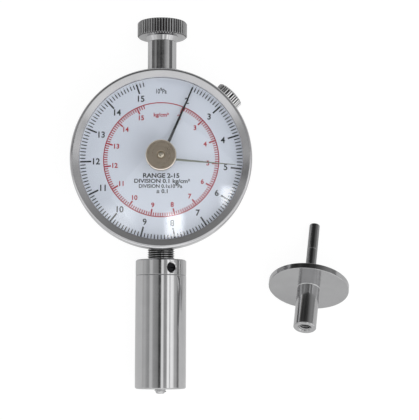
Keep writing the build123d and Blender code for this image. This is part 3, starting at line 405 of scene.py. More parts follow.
# Bright chrome over a polished bar mirrors the studio sharply along the barrel
barrel_chrome = turned_metal("barrel_chrome", "#c9c9ca", 0.10, ALONG)
barrel = turned("spring_barrel", [
    (SPIGOT_BORE, barrel_top),
    (BARREL_RADIUS - JOINT_EDGE, barrel_top),
    (BARREL_RADIUS, barrel_top - JOINT_EDGE),
    (BARREL_RADIUS, barrel_end + END_CHAMFER),
    (BARREL_RADIUS - END_CHAMFER, barrel_end),
    (GUIDE + MOUTH_CHAMFER, barrel_end),
    (GUIDE, barrel_end + MOUTH_CHAMFER),
    (GUIDE, nose_top),
    (BARREL_BORE, nose_top),
    (BARREL_BORE, spigot_end - SPIGOT_END_GAP),
    (SPIGOT_BORE, spigot_end - SPIGOT_END_GAP),
    (SPIGOT_BORE, barrel_top),
], ALONG)
finish(barrel, barrel_chrome, "turned_steel", "frame", "barrel")

# The collar is locked by a grub screw in a countersunk hole on its front right
GRUB_ANGLE = 26.0
GRUB_BELOW_TOP = 2.85
GRUB_RADIUS = 1.5
GRUB_SINK = 0.45
DRILL_OVER = 0.4
THREAD_BORE = 4.475
collar = turned("locking_collar", [
    (THREAD_BORE, collar_top),
    (BARREL_RADIUS - END_CHAMFER, collar_top),
    (BARREL_RADIUS, collar_top - END_CHAMFER),
    (BARREL_RADIUS, barrel_top + JOINT_EDGE),
    (BARREL_RADIUS - JOINT_EDGE, barrel_top),
    (SPIGOT_BORE - SPIGOT_FIT, barrel_top),
    (SPIGOT_BORE - SPIGOT_FIT, spigot_end),
    (THREAD_BORE, spigot_end),
    (THREAD_BORE, collar_top),
], ALONG, edge=0)
hole_height = Matrix.Translation((0, (collar_top - GRUB_BELOW_TOP) * MM, axis_height))
at_hole = hole_height @ Matrix.Rotation(radians(GRUB_ANGLE), 4, "Y")
drill = turned("drill", [
    (0, 0),
    (GRUB_RADIUS, 0),
    (GRUB_RADIUS, BARREL_RADIUS - GRUB_SINK),
    (GRUB_RADIUS + GRUB_SINK + DRILL_OVER, BARREL_RADIUS + DRILL_OVER),
    (0, BARREL_RADIUS + DRILL_OVER),
], at_hole, sides=48, edge=0)
apply(collar, "BOOLEAN", operation="DIFFERENCE", object=drill, solver="EXACT")
bpy.data.objects.remove(drill)
round_edges(collar, 0.08, corner=24)
finish(collar, barrel_chrome, "turned_steel", "frame", "collar")

# The grub screw is blacked in a salt bath: dark, with a faint oily shine
black_oxide_steel = cast_or_rolled("black_oxide_steel", "#2a2a2c", 0.38, 1.0, 0.25)
dress(black_oxide_steel, "grub_screw")


# The lower stem carries a fine rolled thread that shows between the case and the collar.
# It is cut as a real helix: a ridge with sloped sides and a small flat, wound round a plain core.
FLAT_HALF = 0.12  # half the flat on the crest, and half the foot, as parts of the pitch
FOOT_HALF = 0.5
ROOT_SUNK = 0.1  # how far the foot of the ridge lies in the core


def thread_ridge(name, crest, depth, pitch, low, high, place):
    """A helical ridge about local Z, from its crest radius, depth and pitch in millimetres."""
    bpy.ops.object.select_all(action="DESELECT")
    bpy.ops.mesh.primitive_circle_add(vertices=4, radius=1)
    ridge = bpy.context.object
    ridge.name = name
    foot = crest - depth - ROOT_SUNK
    corners = ((crest, -FLAT_HALF), (crest, FLAT_HALF), (foot, FOOT_HALF), (foot, -FOOT_HALF))
    for corner, (radius, share) in zip(ridge.data.vertices, corners):
        corner.co = Vector((radius, 0, low + share * pitch)) * MM
    apply(ridge, "SCREW", axis="Z", angle=2 * pi, screw_offset=pitch * MM, steps=48, render_steps=48,
          iterations=int((high - low) / pitch), use_merge_vertices=True, merge_threshold=1e-7,
          use_smooth_shade=False)
    bpy.ops.object.mode_set(mode="EDIT")
    bpy.ops.mesh.select_all(action="SELECT")
    bpy.ops.mesh.fill_holes(sides=4)
    bpy.ops.mesh.normals_make_consistent(inside=False)
    bpy.ops.object.mode_set(mode="OBJECT")
    bpy.ops.object.shade_smooth_by_angle(angle=radians(40))
    ridge.data.transform(place)
    return ridge


def join(first, *others):
    """Join pieces into the first one."""
    bpy.ops.object.select_all(action="DESELECT")
    for piece in (first, *others):
        piece.select_set(True)
    bpy.context.view_layer.objects.active = first
    bpy.ops.object.join()
    return first


case_low, case_high = span("case")
stem_low, stem_high = span("lower_stem")
ROD_BORE = 2.05
SEAT_RADIUS = 4.5
THREAD_CREST = 4.5
THREAD_DEPTH = 0.42
THREAD_PITCH = 0.75
THREAD_RUN_IN = 0.6
THREAD_RUN_OUT = 0.1
core = THREAD_CREST - THREAD_DEPTH
thread_low = stem_low + THREAD_RUN_IN
thread_high = case_low - THREAD_RUN_OUT
stem = turned("threaded_stem", [
    (ROD_BORE, stem_high),
    (SEAT_RADIUS, stem_high),
    (SEAT_RADIUS, case_low),
    (core, thread_high),
    (core, stem_low),
    (ROD_BORE, stem_low),
    (ROD_BORE, stem_high),
], ALONG, sides=96)
ridge = thread_ridge("stem_thread", THREAD_CREST, THREAD_DEPTH, THREAD_PITCH, thread_low, thread_high, ALONG)

# Bare steel, with painted shade in its thread: bright crests over nearly black roots
thread_steel = turned_metal("thread_steel_painted_shade", "#b0b0b1", 0.16, ALONG, groove_shade=(core, THREAD_CREST, 0.12))
finish(join(stem, ridge), thread_steel, "turned_steel", "frame", "lower_stem")


# The upper stem is a plain polished bar, and the hand knob is screwed on its end: a boss as thick as the
# stem, and a rim with straight knurling between two chamfers. The top of the knob is dished.
FLUTE_SIDES = 6
FLUTE_DIPS = {2: 0.55, 3: 1.0, 4: 0.55}  # how deep a flute is at each of its sides, as a share


def flute(piece, radius, depth, count):
    """Press straight flutes into the rim of a knob that was turned with six sides to a flute."""
    spots = [corner.co.copy() for corner in piece.data.vertices]
    rim = {index: round(Vector((1, 0)).angle_signed(spot.xy) / (2 * pi) * count * FLUTE_SIDES) % FLUTE_SIDES
           for index, spot in enumerate(spots) if spot.xy.length > (radius - 0.01) * MM}
    for part, dip in FLUTE_DIPS.items():
        bpy.ops.object.mode_set(mode="EDIT")
        bpy.ops.mesh.select_all(action="DESELECT")
        bpy.ops.object.mode_set(mode="OBJECT")
        for index, place_in_flute in rim.items():
            piece.data.vertices[index].select = place_in_flute == part
        bpy.ops.object.mode_set(mode="EDIT")
        share = (radius - depth * dip) / radius
        bpy.ops.transform.resize(value=(share, share, 1), center_override=(0, 0, 0))
        bpy.ops.object.mode_set(mode="OBJECT")


inner_end, knob_seat_end = span("top_stem")
knob_seat, knob_top = span("top_knob")
SHOULDER = case_high - 0.6
STEM_RADIUS = 4.87
KNOB_SPIGOT = 3.0

# The stem is hardly handled, so its chrome is the brightest and mirrors the studio most sharply
upper_chrome = turned_metal("stem_chrome", "#cbcbcc", 0.09, ALONG)
upper_stem = turned("upper_stem", [
    (ROD_BORE, inner_end),
    (SEAT_RADIUS, inner_end),
    (SEAT_RADIUS, SHOULDER),
    (STEM_RADIUS, SHOULDER),
    (STEM_RADIUS, knob_seat),
    (KNOB_SPIGOT, knob_seat),
    (KNOB_SPIGOT, knob_seat_end),
    (0, knob_seat_end),
], ALONG)
finish(upper_stem, upper_chrome, "polished_steel", "frame", "top_stem")

KNOB_RADIUS = 8.45
KNOB_FLARE = 5.6
KNOB_FLUTES = 56
FLUTE_DEPTH = 0.36
KNOB_BOSS = 1.6
KNOB_CHAMFER = 0.45
KNOB_EDGE = 0.05
SOCKET_GAP = 0.05
KNOB_SOCKET = KNOB_SPIGOT + SOCKET_GAP
DISH_RADIUS = 6.0
DISH_DEPTH = 0.4
rim_base = knob_seat + KNOB_BOSS
knob = turned("hand_knob", [
    (0, knob_seat_end + SOCKET_GAP),
    (KNOB_SOCKET, knob_seat_end + SOCKET_GAP),
    (KNOB_SOCKET, knob_seat),
    (STEM_RADIUS, knob_seat),
    (KNOB_FLARE, rim_base),
    (KNOB_RADIUS - KNOB_CHAMFER, rim_base),
    (KNOB_RADIUS, rim_base + KNOB_CHAMFER),
    (KNOB_RADIUS, knob_top - KNOB_CHAMFER),
    (KNOB_RADIUS - KNOB_CHAMFER, knob_top),
    (DISH_RADIUS, knob_top),
    (DISH_RADIUS - DISH_DEPTH, knob_top - DISH_DEPTH),
    (0, knob_top - DISH_DEPTH),
], sides=FLUTE_SIDES * KNOB_FLUTES, edge=0)
flute(knob, KNOB_RADIUS, FLUTE_DEPTH, KNOB_FLUTES)
round_edges(knob, KNOB_EDGE, corner=24)
knob.data.transform(ALONG)

# Chrome over straight knurling: bright ridges, with painted shade in the flutes
knurled_chrome = turned_metal("knurled_chrome", "#cfcfd0", 0.10, ALONG, lively=0.03,
                              groove_shade=(KNOB_RADIUS - FLUTE_DEPTH, KNOB_RADIUS, 0.22))
finish(knob, knurled_chrome, "knurled_steel", "frame", "top_knob")


# The plunger slides in the barrel on its guide and in the stems on its rod, against the measuring spring.
# Its stud stands out of the barrel's mouth and has the thread that the penetrating head screws on.
stud_end = span("plunger")[0]
STUD_CREST = 1.95
STUD_DEPTH = 0.32
STUD_PITCH = 0.7
STUD_LENGTH = 6.2
THREAD_START = 0.75
stud_root = stud_end + STUD_LENGTH
bpy.ops.object.select_all(action="DESELECT")
plunger = cad["plunger"].copy()
plunger.data = cad["plunger"].data.copy()

# The copy is a new piece, so it carries none of the node's own marks
for key in list(plunger.keys()):
    del plunger[key]
plunger.parent = None
plunger.name = "threaded_plunger"
stage.collection.objects.link(plunger)
bpy.context.view_layer.objects.active = plunger
plunger.select_set(True)

# Its mesh is loose triangles, so its points are merged first
bpy.ops.object.mode_set(mode="EDIT")
bpy.ops.mesh.select_all(action="SELECT")
bpy.ops.mesh.remove_doubles(threshold=0.002 * MM)
bpy.ops.mesh.select_all(action="DESELECT")
bpy.ops.object.mode_set(mode="OBJECT")

# The plain stud is drawn at its crest radius, so its side comes in to the core of the thread
for corner in plunger.data.vertices:
    away = hypot(corner.co.x, corner.co.z - axis_height) / MM
    corner.select = corner.co.y / MM < stud_root + 0.01 and abs(away - STUD_CREST) < 0.05
bpy.ops.object.mode_set(mode="EDIT")
slim = (STUD_CREST - STUD_DEPTH) / STUD_CREST
bpy.ops.transform.resize(value=(slim, 1, slim), center_override=(0, 0, axis_height))
bpy.ops.object.mode_set(mode="OBJECT")
bpy.ops.object.shade_smooth_by_angle(angle=radians(30))
thread_low = stud_end + THREAD_START
ridge = thread_ridge("stud_thread", STUD_CREST, STUD_DEPTH, STUD_PITCH, thread_low, stud_root, ALONG)

# Ground steel of a sliding rod: smooth and even, a little duller than chrome
stud_steel = turned_metal("stud_steel", "#c2c2c3", 0.18, ALONG)
finish(join(plunger, ridge), stud_steel, "turned_steel", "plunger_group", "plunger")


# The measuring spring is wound from round steel wire, with ground ends. It stands between the plunger's
# flange and the washer under the collar, and its upper end stays as the plunger presses it together.
SPRING_WIRE = 0.85
SPRING_RADIUS = 4.1
SPRING_TURNS = 8.3
SPRING_OVERRUN = 0.25  # turns ground away at each end
SPRING_STEPS = 288  # faces along the whole wire
spring_low, spring_high = span("measuring_spring")
spring_pitch = (spring_high - spring_low) / SPRING_TURNS
wound_turns = SPRING_TURNS + 2 * SPRING_OVERRUN
bpy.ops.object.select_all(action="DESELECT")
bpy.ops.mesh.primitive_circle_add(vertices=12, radius=SPRING_WIRE / 2 * MM)
spring = bpy.context.object
spring.name = "wound_measuring_spring"
bpy.ops.object.mode_set(mode="EDIT")
bpy.ops.transform.rotate(value=pi / 2, orient_axis="X", center_override=(0, 0, 0))
bpy.ops.transform.translate(value=(SPRING_RADIUS * MM, 0, (spring_low - SPRING_OVERRUN * spring_pitch) * MM))
bpy.ops.object.mode_set(mode="OBJECT")
apply(spring, "SCREW", axis="Z", angle=2 * pi * wound_turns, screw_offset=wound_turns * spring_pitch * MM,
      steps=SPRING_STEPS, render_steps=SPRING_STEPS)

# Both ends are ground flat
bpy.ops.object.mode_set(mode="EDIT")
for end, lower in ((spring_low, True), (spring_high, False)):
    bpy.ops.mesh.select_all(action="SELECT")
    bpy.ops.mesh.bisect(plane_co=(0, 0, end * MM), plane_no=(0, 0, 1), use_fill=True,
                        clear_inner=lower, clear_outer=not lower)
bpy.ops.mesh.select_all(action="SELECT")
bpy.ops.mesh.normals_make_consistent(inside=False)
bpy.ops.object.mode_set(mode="OBJECT")
bpy.ops.object.shade_smooth_by_angle(angle=radians(40))
spring.data.transform(ALONG)

# Drawn and tempered spring wire and strip: a darker grey with a soft shine
spring_steel = cast_or_rolled("spring_steel", "#8d8d8e", 0.30, 1.0, 0.3)
finish(spring, spring_steel, "spring_steel", "frame", "measuring_spring")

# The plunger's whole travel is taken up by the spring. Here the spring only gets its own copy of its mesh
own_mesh(spring)
dress(spring_steel, "bezel_wire", "friction_washer", "dial_snap_ring")
dress(movement_steel, "spring_washer")


# The dial is thin sheet metal with a baked white enamel and two printed scales, black outside and red inside.
# Both run from 2 to 15, ten divisions to a unit, and the red one hangs from a ring.
# The enamel is bluish white and matt, with the faint skin of baked paint.
enamel, tree = empty_material("white_dial_enamel")
spot = add_node(tree, "TexCoord").outputs["Object"]
orange_peel = add_node(tree, "TexNoise", {}, {"Vector": spot, "Scale": 1 / (0.8 * MM), "Detail": 2.0})
tone = add_node(tree, "TexNoise", {}, {"Vector": spot, "Scale": 1 / (14 * MM), "Detail": 1.0})
blend = add_node(tree, "Mix", {"data_type": "RGBA"},
                 {0: tone.outputs["Fac"], 6: linear("#d7dae2"), 7: linear("#dcdfe6")})
relief = add_node(tree, "Bump", {},
                  {"Height": orange_peel.outputs["Fac"], "Distance": 0.002 * MM, "Strength": 1.0})
show(tree, add_node(tree, "BsdfPrincipled", {}, {"Base Color": blend.outputs[2], "Roughness": 0.42,
                                                 "Normal": relief.outputs[0]}))
dress(enamel, "dial_plate")

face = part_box("dial_plate")[1].z / MM
INK = 0.015  # thickness of the printed ink
FIRST_ANGLE = 23.0
UNIT_ANGLE = 24.5
FIRST_UNIT = 2
LAST_UNIT = 15
BLACK_UNIT = 1.0
RED_UNIT = 0.980665  # one kilogram on a square centimetre, in units of the black scale


def bearing(value, unit):
    """Clockwise angle from +Y of a value on a scale of that unit, in radians."""
    return radians(FIRST_ANGLE + (value * unit - FIRST_UNIT) * UNIT_ANGLE)


def stroke(name, width, inner, outer):
    """One printed line on the dial along +Y, from one radius to another."""
    bpy.ops.object.select_all(action="DESELECT")
    bpy.ops.mesh.primitive_plane_add(size=1)
    line = bpy.context.object
    line.name = name
    bpy.ops.object.mode_set(mode="EDIT")
    bpy.ops.transform.resize(value=(width * MM, (outer - inner) * MM, 1))
    bpy.ops.transform.translate(value=(0, (outer + inner) / 2 * MM, face * MM))
    bpy.ops.mesh.extrude_region_move(TRANSFORM_OT_translate={"value": (0, 0, INK * MM)})
    bpy.ops.object.mode_set(mode="OBJECT")
    return line


def scale_lines(name, unit, past, minor, major):
    """All lines of one scale, some past its last figure: a short and a long one are copied round."""
    print_lines = []
    for tenths in range(FIRST_UNIT * 10, LAST_UNIT * 10 + past + 1):
        line = minor if tenths % 10 else major
        twin = line.copy()
        twin.data = line.data.copy()
        twin.data.transform(Matrix.Rotation(-bearing(tenths / 10, unit), 4, "Z"))
        stage.collection.objects.link(twin)
        print_lines.append(twin)
    for line in (minor, major):
        bpy.data.objects.remove(line)
    print_lines[0].name = name
    return join(*print_lines)


def printed(words, x, y, height, width=None, bold=0.0):
    """Words printed on the dial, centred at a place, with their height and perhaps their width."""
    bpy.ops.object.select_all(action="DESELECT")
    bpy.ops.object.text_add()
    text = bpy.context.object
    text.data.body = words
    text.data.align_x = "CENTER"
    text.data.resolution_u = 4
    text.data.offset = bold
    text.data.extrude = 0.5  # each way, so the words are one unit thick until they are scaled
    bpy.ops.object.convert(target="MESH")
    text = bpy.context.object
    across = [corner.co.x for corner in text.data.vertices]
    up = [corner.co.y for corner in text.data.vertices]
    middle = Matrix.Translation((-(max(across) + min(across)) / 2, -(max(up) + min(up)) / 2, 0.5))
    tall = height / (max(up) - min(up)) * MM
    wide = width / (max(across) - min(across)) * MM if width else tall
    text.data.transform(Matrix.Diagonal((wide, tall, INK * MM, 1)) @ middle)
    text.data.transform(Matrix.Translation((x * MM, y * MM, face * MM)))
    return text


def figures(unit, radius, height, bold):
    """The figures of one scale, each upright at its value."""
    places = [(value, bearing(value, unit)) for value in range(FIRST_UNIT, LAST_UNIT + 1)]
    return [printed(str(value), radius * sin(angle), radius * cos(angle), height, bold=bold)
            for value, angle in places]


BLACK_EDGE = 26.45
minor_black = stroke("minor", width=0.34, inner=25.0, outer=BLACK_EDGE)
major_black = stroke("major", width=0.54, inner=23.1, outer=BLACK_EDGE)
black_lines = scale_lines("black_scale", BLACK_UNIT, 2, minor_black, major_black)

# Words with their place across and up the dial, height, width and boldness
black_print = [
    *figures(BLACK_UNIT, 21.4, 2.1, 0.024),
    printed("10\u2075Pa", -0.1, 23.05, 1.95, 3.5, 0.016),
    printed("RANGE 2-15", 0, -5.35, 1.6, 12.0, 0.034),
    printed("DIVISION 0.1 kg/cm\u00b2", 0.3, -7.35, 1.8, 18.4, 0.026),
    printed("DIVISION 0.1x10\u2075Pa", -0.2, -8.75, 1.5, 14.3, 0.024),
    printed("\u00b1 0.1", 0.3, -10.55, 1.35, 3.7, 0.028),
]
RED_EDGE = 19.05
RING_INNER = 18.88
RING_OUTER = 19.20
minor_red = stroke("minor", width=0.34, inner=17.75, outer=RED_EDGE)
major_red = stroke("major", width=0.50, inner=16.75, outer=RED_EDGE)
red_lines = scale_lines("red_scale", RED_UNIT, 3, minor_red, major_red)
red_ring = turned("red_ring", [
    (RING_INNER, face),
    (RING_OUTER, face),
    (RING_OUTER, face + INK),
    (RING_INNER, face + INK),
    (RING_INNER, face),
], edge=0)
red_print = [
    *figures(RED_UNIT, 15.4, 1.65, 0.03),
    printed("kg/cm\u00b2", -0.1, 14.8, 1.75, 5.0, 0.03),
]


def ink(name, colour):
    """Screen-printed ink: an even colour, a little glossier than the enamel, thin at places."""
    made, tree = empty_material(name)
    spot = add_node(tree, "TexCoord").outputs["Object"]
    speckle = add_node(tree, "TexNoise", {}, {"Vector": spot, "Scale": 1 / (0.35 * MM), "Detail": 2.0})
    thin = add_node(tree, "MapRange", {}, {"Value": speckle.outputs["Fac"], "From Min": 0.3, "From Max": 0.7,
                                           "To Min": 0.85, "To Max": 1.15})
    tint = add_node(tree, "VectorMath", {"operation": "SCALE"},
                    {0: linear(colour)[:3], "Scale": thin.outputs[0]})
    show(tree, add_node(tree, "BsdfPrincipled", {}, {"Base Color": tint.outputs[0], "Roughness": 0.38}))
    return made


black_ink = ink("black_printing_ink", "#0c0e13")
red_ink = ink("red_printing_ink", "#aa0d22")
finish(join(black_lines, *black_print), black_ink, "dial_enamel", "bezel_group")
finish(join(red_lines, red_ring, *red_print), red_ink, "dial_enamel", "bezel_group")

# The spacer between dial and crystal is painted a matt pale grey
pale_grey_paint = cast_or_rolled("pale_grey_spacer", "#c8c7ca", 0.45, 0.0, 0.6)
dress(pale_grey_paint, "spacer_ring")


# The black needle is stamped from brass strip and lacquered, and pressed on the arbor of the pinion.
# The peak needle is thin grey strip that it pushes along.
# The black lacquer is nearly matt, and the grey one is thin enough for some metal to show.
black_lacquer = cast_or_rolled("black_needle_lacquer", "#0b0b0d", 0.45, 0.0, 0.5)
grey_lacquer = cast_or_rolled("grey_needle_lacquer", "#7c7f70", 0.40, 0.3, 0.5)
dress(black_lacquer, "needle")
dress(grey_lacquer, "peak_needle")


# The crystal is moulded clear acrylic: a low dome with a flat flange that the bezel's lip holds down.
# The reset shaft turns in a bush in its middle.
crystal_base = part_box("crystal")[0].z / MM
dome_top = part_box("crystal")[1].z / MM
FLANGE_RADIUS = 27.95
DOME_EDGE = 26.8
INNER_EDGE = 26.2
DOME_RISE = 4.2
CRYSTAL_WALL = 1.3
BUSH_HOLE = 1.8
BOW_STEPS = 14
real_top = round(dome_top, 1)  # of the dome without its bush hole, whose edge is a little lower
dome_rim = real_top - DOME_RISE


def bow(edge, base, top):
    """Points of a shallow arc from the bush hole out to an edge, from its heights there and in the middle."""
    rise = top - base
    radius = (edge ** 2 + rise ** 2) / (2 * rise)
    reaches = [BUSH_HOLE + (edge - BUSH_HOLE) * step / BOW_STEPS for step in range(BOW_STEPS + 1)]
    return [(reach, top - radius + sqrt(radius ** 2 - reach ** 2)) for reach in reaches]


outside = bow(DOME_EDGE, dome_rim, real_top)
inside = bow(INNER_EDGE, crystal_base, real_top - CRYSTAL_WALL)
crystal = turned("domed_crystal", [
    *outside,
    (FLANGE_RADIUS, dome_rim),
    (FLANGE_RADIUS, crystal_base),
    *reversed(inside),
    outside[0],
], sides=192, edge=0.06)

# Moulded acrylic is clear and smooth, and its long shallow waves bend the glares a little
acrylic, tree = empty_material("clear_moulded_acrylic")
spot = add_node(tree, "TexCoord").outputs["Object"]
wave = add_node(tree, "TexNoise", {}, {"Vector": spot, "Scale": 1 / (9 * MM), "Detail": 0.0})
relief = add_node(tree, "Bump", {},
                  {"Height": wave.outputs["Fac"], "Distance": 0.006 * MM, "Strength": 1.0})
glass = add_node(tree, "BsdfPrincipled", {}, {"Base Color": linear("#f8fafc"), "Roughness": 0.0, "IOR": 1.49,
                                              "Transmission Weight": 1.0, "Normal": relief.outputs[0]})
clear = add_node(tree, "BsdfTransparent", {}, {"Color": linear("#f6f8fa")})
ray = add_node(tree, "LightPath")
show(tree, add_node(tree, "MixShader", {}, {0: ray.outputs["Is Shadow Ray"], 1: glass.outputs[0],
                                            2: clear.outputs[0]}))
finish(crystal, acrylic, "clear_crystal", "bezel_group", "crystal")


# The reset knob is turned from nickel-brass, dull with handling, with a fine lathe-cut face.
# It sits on a steel shaft whose end is riveted over in a countersink of the face and has a small centre.
knob_low, knob_high = (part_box("reset_knob")[side].z / MM for side in (0, 1))
RESET_RADIUS = 5.0
RESET_EDGE = 0.30
RESET_FOOT = 0.35
# How far the painted highlight on the knob's upper edge reaches
HIGHLIGHT_BAND = 0.22
SHAFT_RADIUS = 0.9
SINK_RADIUS = 1.4
SINK_DEPTH = 0.45
reset_knob = turned("reset_hand_knob", [
    (SHAFT_RADIUS, knob_low),
    (RESET_RADIUS - RESET_FOOT, knob_low),
    (RESET_RADIUS, knob_low + RESET_FOOT),
    (RESET_RADIUS, knob_high - RESET_EDGE),
    (RESET_RADIUS - RESET_EDGE, knob_high),
    (SINK_RADIUS, knob_high),
    (SHAFT_RADIUS, knob_high - SINK_DEPTH),
    (SHAFT_RADIUS, knob_low),
], sides=128, edge=0.05)

# Nickel-brass dulled by fingers: a warm grey, with cut rings that spread its shine
dull_brass = turned_metal("dull_nickel_brass", "#b5a999", 0.30, line=0.16, depth=0.012, lively=0.10)
finish(reset_knob, dull_brass, "grey_brass", "reset_group", "reset_knob")

# A painted highlight: a thin pale ring over the chamfer makes the knob's upper edge bright
highlight_ring = turned("knob_edge_painted_highlight", [
    (RESET_RADIUS - RESET_EDGE, knob_high),
    (RESET_RADIUS - HIGHLIGHT_BAND, knob_high),
    (RESET_RADIUS, knob_high - HIGHLIGHT_BAND),
    (RESET_RADIUS, knob_high - RESET_EDGE),
    (RESET_RADIUS - RESET_EDGE, knob_high),
], sides=128, edge=0.02)
highlight_brass = turned_metal("painted_highlight_brass", "#efe6da", 0.18)
finish(highlight_ring, highlight_brass, "grey_brass", "reset_group")

# The rivet: hammered out in the countersink to a low dome, with a centre mark of the lathe
shaft_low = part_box("reset_shaft")[0].z / MM
RIVET_FOOT = 1.14
RIVET_RADIUS = 0.98
RIVET_RISE = 0.15
CENTRE_RADIUS = 0.16
CENTRE_DEPTH = 0.09
shaft = turned("riveted_reset_shaft", [
    (0, shaft_low),
    (SHAFT_RADIUS, shaft_low),
    (SHAFT_RADIUS, knob_high - SINK_DEPTH),
    (RIVET_FOOT, knob_high - 0.30),
    (RIVET_RADIUS, knob_high - 0.02),
    (0.70, knob_high + 0.10),
    (0.35, knob_high + RIVET_RISE),
    (CENTRE_RADIUS, knob_high + RIVET_RISE),
    (0, knob_high + RIVET_RISE - CENTRE_DEPTH),
], sides=64, edge=0.03)
riveted_steel = turned_metal("riveted_steel", "#d6cdbc", 0.18)
finish(shaft, riveted_steel, "grey_brass", "reset_group", "reset_shaft")


# The bezel is turned from brass, polished and chromed. Its face falls to the crystal, its outer edge is
# rounded, and its skirt turns on the case.
bezel_low, bezel_high = (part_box("bezel")[side].z / MM for side in (0, 1))
RIM = 30.0
RIM_ROUND = 0.95
LIP_RADIUS = 27.0
LIP_BELOW = 0.6
LIP_EDGE = 26.95
LIP_DROP = 0.05
LIP_GAP = 0.05
LIP_CLEAR = 0.13
FLANGE_BORE = 28.0
SKIRT = 29.1
SKIRT_BORE = 28.28
SKIRT_CHAMFER = 0.2
RING_GROOVE, RING_LOW, RING_HIGH = 28.55, 17.7, 18.2
WIRE_GROOVE, WIRE_LOW, WIRE_HIGH = 28.6, 15.9, 16.7
FULL_FROM = 17.2
ROUND_STEPS = 10
lip_foot = DOME_EDGE + LIP_GAP
turns = [step * pi / (2 * ROUND_STEPS) for step in range(ROUND_STEPS + 1)]
rounding = [(RIM - RIM_ROUND * (1 - cos(turn)), bezel_high - RIM_ROUND * (1 - sin(turn))) for turn in turns]
bezel = turned("polished_bezel", [
    (lip_foot, dome_rim),
    (FLANGE_BORE, dome_rim),
    (FLANGE_BORE, RING_HIGH),
    (RING_GROOVE, RING_HIGH),
    (RING_GROOVE, RING_LOW),
    (SKIRT_BORE, RING_LOW),
    (SKIRT_BORE, WIRE_HIGH),
    (WIRE_GROOVE, WIRE_HIGH),
    (WIRE_GROOVE, WIRE_LOW),
    (SKIRT_BORE, WIRE_LOW),
    (SKIRT_BORE, bezel_low),
    (SKIRT, bezel_low),
    (SKIRT, FULL_FROM - SKIRT_CHAMFER),
    (RIM - SKIRT_CHAMFER, FULL_FROM - SKIRT_CHAMFER),
    (RIM, FULL_FROM),
    *rounding,
    (LIP_RADIUS, bezel_high - LIP_BELOW),
    (LIP_EDGE, bezel_high - LIP_BELOW - LIP_DROP),
    (LIP_EDGE, dome_rim + LIP_CLEAR),
    (lip_foot, dome_rim),
], sides=256, edge=0.06)

# Chrome over fine turning: bright, with a soft shine drawn out round the ring
bezel_chrome = turned_metal("bezel_chrome", "#cfcfd1", 0.16, line=0.25)
finish(bezel, bezel_chrome, "polished_bezel", "bezel_group", "bezel")


# The clamp screw is a small fluted knob with a domed end, turned from steel and chromed in one piece with
# its shank. It presses a steel shoe against the bezel's skirt.
clamp_height = (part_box("clamp_screw")[0].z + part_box("clamp_screw")[1].z) / 2
CLAMP_ANGLE = 45.7
OUTWARDS = Matrix.Rotation(radians(CLAMP_ANGLE), 4, "Z") @ Matrix.Rotation(radians(90), 4, "Y")
ACROSS = Matrix.Translation((0, 0, clamp_height)) @ OUTWARDS
CLAMP_RADIUS = 5.0
CLAMP_FLUTES = 33
CLAMP_CHAMFER = 0.5
SHANK_RADIUS = 1.45
SHANK_START = 21.8
CLAMP_START = 29.0
CLAMP_END = 34.0
CLAMP_RISE = 0.75
CLAMP_FLUTE_DEPTH = 0.27
DOME_STEPS = 6
clamp_edge = CLAMP_RADIUS - CLAMP_CHAMFER
clamp_top = CLAMP_END + CLAMP_RISE
dome_bow = (clamp_edge ** 2 + CLAMP_RISE ** 2) / (2 * CLAMP_RISE)
reaches = [clamp_edge * cos(step * pi / (2 * DOME_STEPS)) for step in range(DOME_STEPS)]
domed_end = [(reach, clamp_top - dome_bow + sqrt(dome_bow ** 2 - reach ** 2)) for reach in reaches]
clamp = turned("fluted_clamp_screw", [
    (0, SHANK_START),
    (SHANK_RADIUS, SHANK_START),
    (SHANK_RADIUS, CLAMP_START),
    (clamp_edge, CLAMP_START),
    (CLAMP_RADIUS, CLAMP_START + CLAMP_CHAMFER),
    (CLAMP_RADIUS, CLAMP_END - CLAMP_CHAMFER),
    *domed_end,
    (0, clamp_top),
], sides=FLUTE_SIDES * CLAMP_FLUTES, edge=0)
flute(clamp, CLAMP_RADIUS, CLAMP_FLUTE_DEPTH, CLAMP_FLUTES)
round_edges(clamp, KNOB_EDGE, corner=24)
clamp.data.transform(ACROSS)

# The little knob's chrome is the palest, with the blackest painted shade in its narrow flutes
fluted_chrome = turned_metal("fluted_chrome", "#f0f0f1", 0.12, ACROSS, lively=0.03,
                             groove_shade=(CLAMP_RADIUS - CLAMP_FLUTE_DEPTH, CLAMP_RADIUS - 0.06, 0.03))
finish(clamp, fluted_chrome, "knurled_steel", "clamp_group", "clamp_screw")

# The shoe is bare milled steel
shoe_steel = cast_or_rolled("shoe_steel", "#aeaeaf", 0.24, 1.0, 0.4)
dress(shoe_steel, "clamp_shoe")


# The penetrating head is turned from stainless steel in one piece: indenter with a depth line, and a sleeve
# with the tapped socket. The guard disc is pressed on it and polished like a mirror.
# The head rests on the rim of the disc and the edge of its tip, which sets how it leans.
INDENTER = 1.75
TIP_EDGE = 0.12
MARK = 10.0
MARK_HALF = 0.15
MARK_DEPTH = 0.12
DISC_RADIUS = 13.4
DISC_FRONT = 23.2
DISC_BACK = 25.2
DISC_SEAT = 2.6
DISC_CHAMFER = 0.12
SLEEVE = 3.75
SLEEVE_END = 40.1
SLEEVE_CHAMFER = 0.25
FILLET = 0.35
SOCKET = 2.0
SOCKET_CHAMFER = 0.4
SOCKET_DEEP = 7.0
SOCKET_CREST = 1.7
SOCKET_THREAD = 0.45
HEADING = 8.8
LEAN = atan((DISC_RADIUS - INDENTER) / DISC_FRONT)
TIP = Vector((52.8, -20.25, INDENTER * cos(LEAN) - TIP_EDGE * sin(LEAN)))
LYING = Matrix.Rotation(radians(-HEADING), 4, "Z") @ Matrix.Rotation(pi / 2 - LEAN, 4, "X")
LAID = Matrix.Translation(TIP * MM) @ LYING
turns = [step * pi / 8 for step in range(4, -1, -1)]
fillet = [(SLEEVE + FILLET * (1 - cos(turn)), DISC_BACK + FILLET * (1 - sin(turn))) for turn in turns]
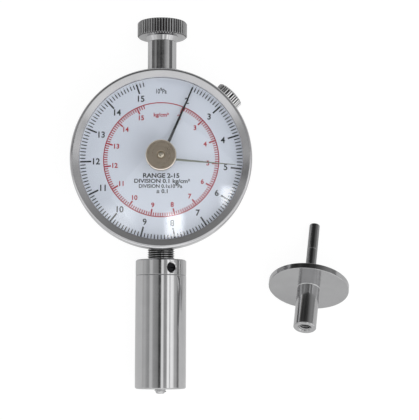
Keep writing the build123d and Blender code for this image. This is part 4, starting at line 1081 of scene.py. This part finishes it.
head = turned("indenter_and_sleeve", [
    (0, 0),
    (INDENTER - TIP_EDGE, 0),
    (INDENTER, TIP_EDGE),
    (INDENTER, MARK - MARK_HALF),
    (INDENTER - MARK_DEPTH, MARK - MARK_HALF),
    (INDENTER - MARK_DEPTH, MARK + MARK_HALF),
    (INDENTER, MARK + MARK_HALF),
    (INDENTER, DISC_FRONT),
    (DISC_SEAT, DISC_FRONT),
    (DISC_SEAT, DISC_BACK),
    *fillet,
    (SLEEVE, SLEEVE_END - SLEEVE_CHAMFER),
    (SLEEVE - SLEEVE_CHAMFER, SLEEVE_END),
    (SOCKET + SOCKET_CHAMFER, SLEEVE_END),
    (SOCKET, SLEEVE_END - SOCKET_CHAMFER),
    (SOCKET, SLEEVE_END - SOCKET_DEEP),
    (0, SLEEVE_END - SOCKET_DEEP),
], LAID, sides=96, edge=0.05)

# The socket's thread stands inwards from its bore, so its ridge has a depth below zero
thread_low = SLEEVE_END - SOCKET_DEEP + STUD_PITCH
thread_high = SLEEVE_END - SOCKET_CHAMFER - 0.1
socket_thread = thread_ridge("socket_thread", SOCKET_CREST, -SOCKET_THREAD, STUD_PITCH, thread_low,
                             thread_high, LAID)

# Stainless steel, finely turned. Painted shade darkens the thread in the socket, and the indenter as much
stainless_head = turned_metal("stainless_head", "#c0c0c1", 0.13, LAID,
                              groove_shade=(SOCKET_CREST, SOCKET - 0.02, 0.6))
finish(join(head, socket_thread), stainless_head, "polished_steel", "frame", "penetrating_head")
disc = turned("guard_disc", [
    (DISC_SEAT, DISC_FRONT),
    (DISC_RADIUS - DISC_CHAMFER, DISC_FRONT),
    (DISC_RADIUS, DISC_FRONT + DISC_CHAMFER),
    (DISC_RADIUS, DISC_BACK - DISC_CHAMFER),
    (DISC_RADIUS - DISC_CHAMFER, DISC_BACK),
    (DISC_SEAT, DISC_BACK),
    (DISC_SEAT, DISC_FRONT),
], LAID, sides=192, edge=0.06)

# The disc is stainless steel polished finer than the head, so it mirrors the sleeve
mirror_disc_steel = turned_metal("mirror_disc_steel", "#bababb", 0.11, LAID, lively=0.03)
finish(disc, mirror_disc_steel, "polished_steel", "frame", "splash_disc")
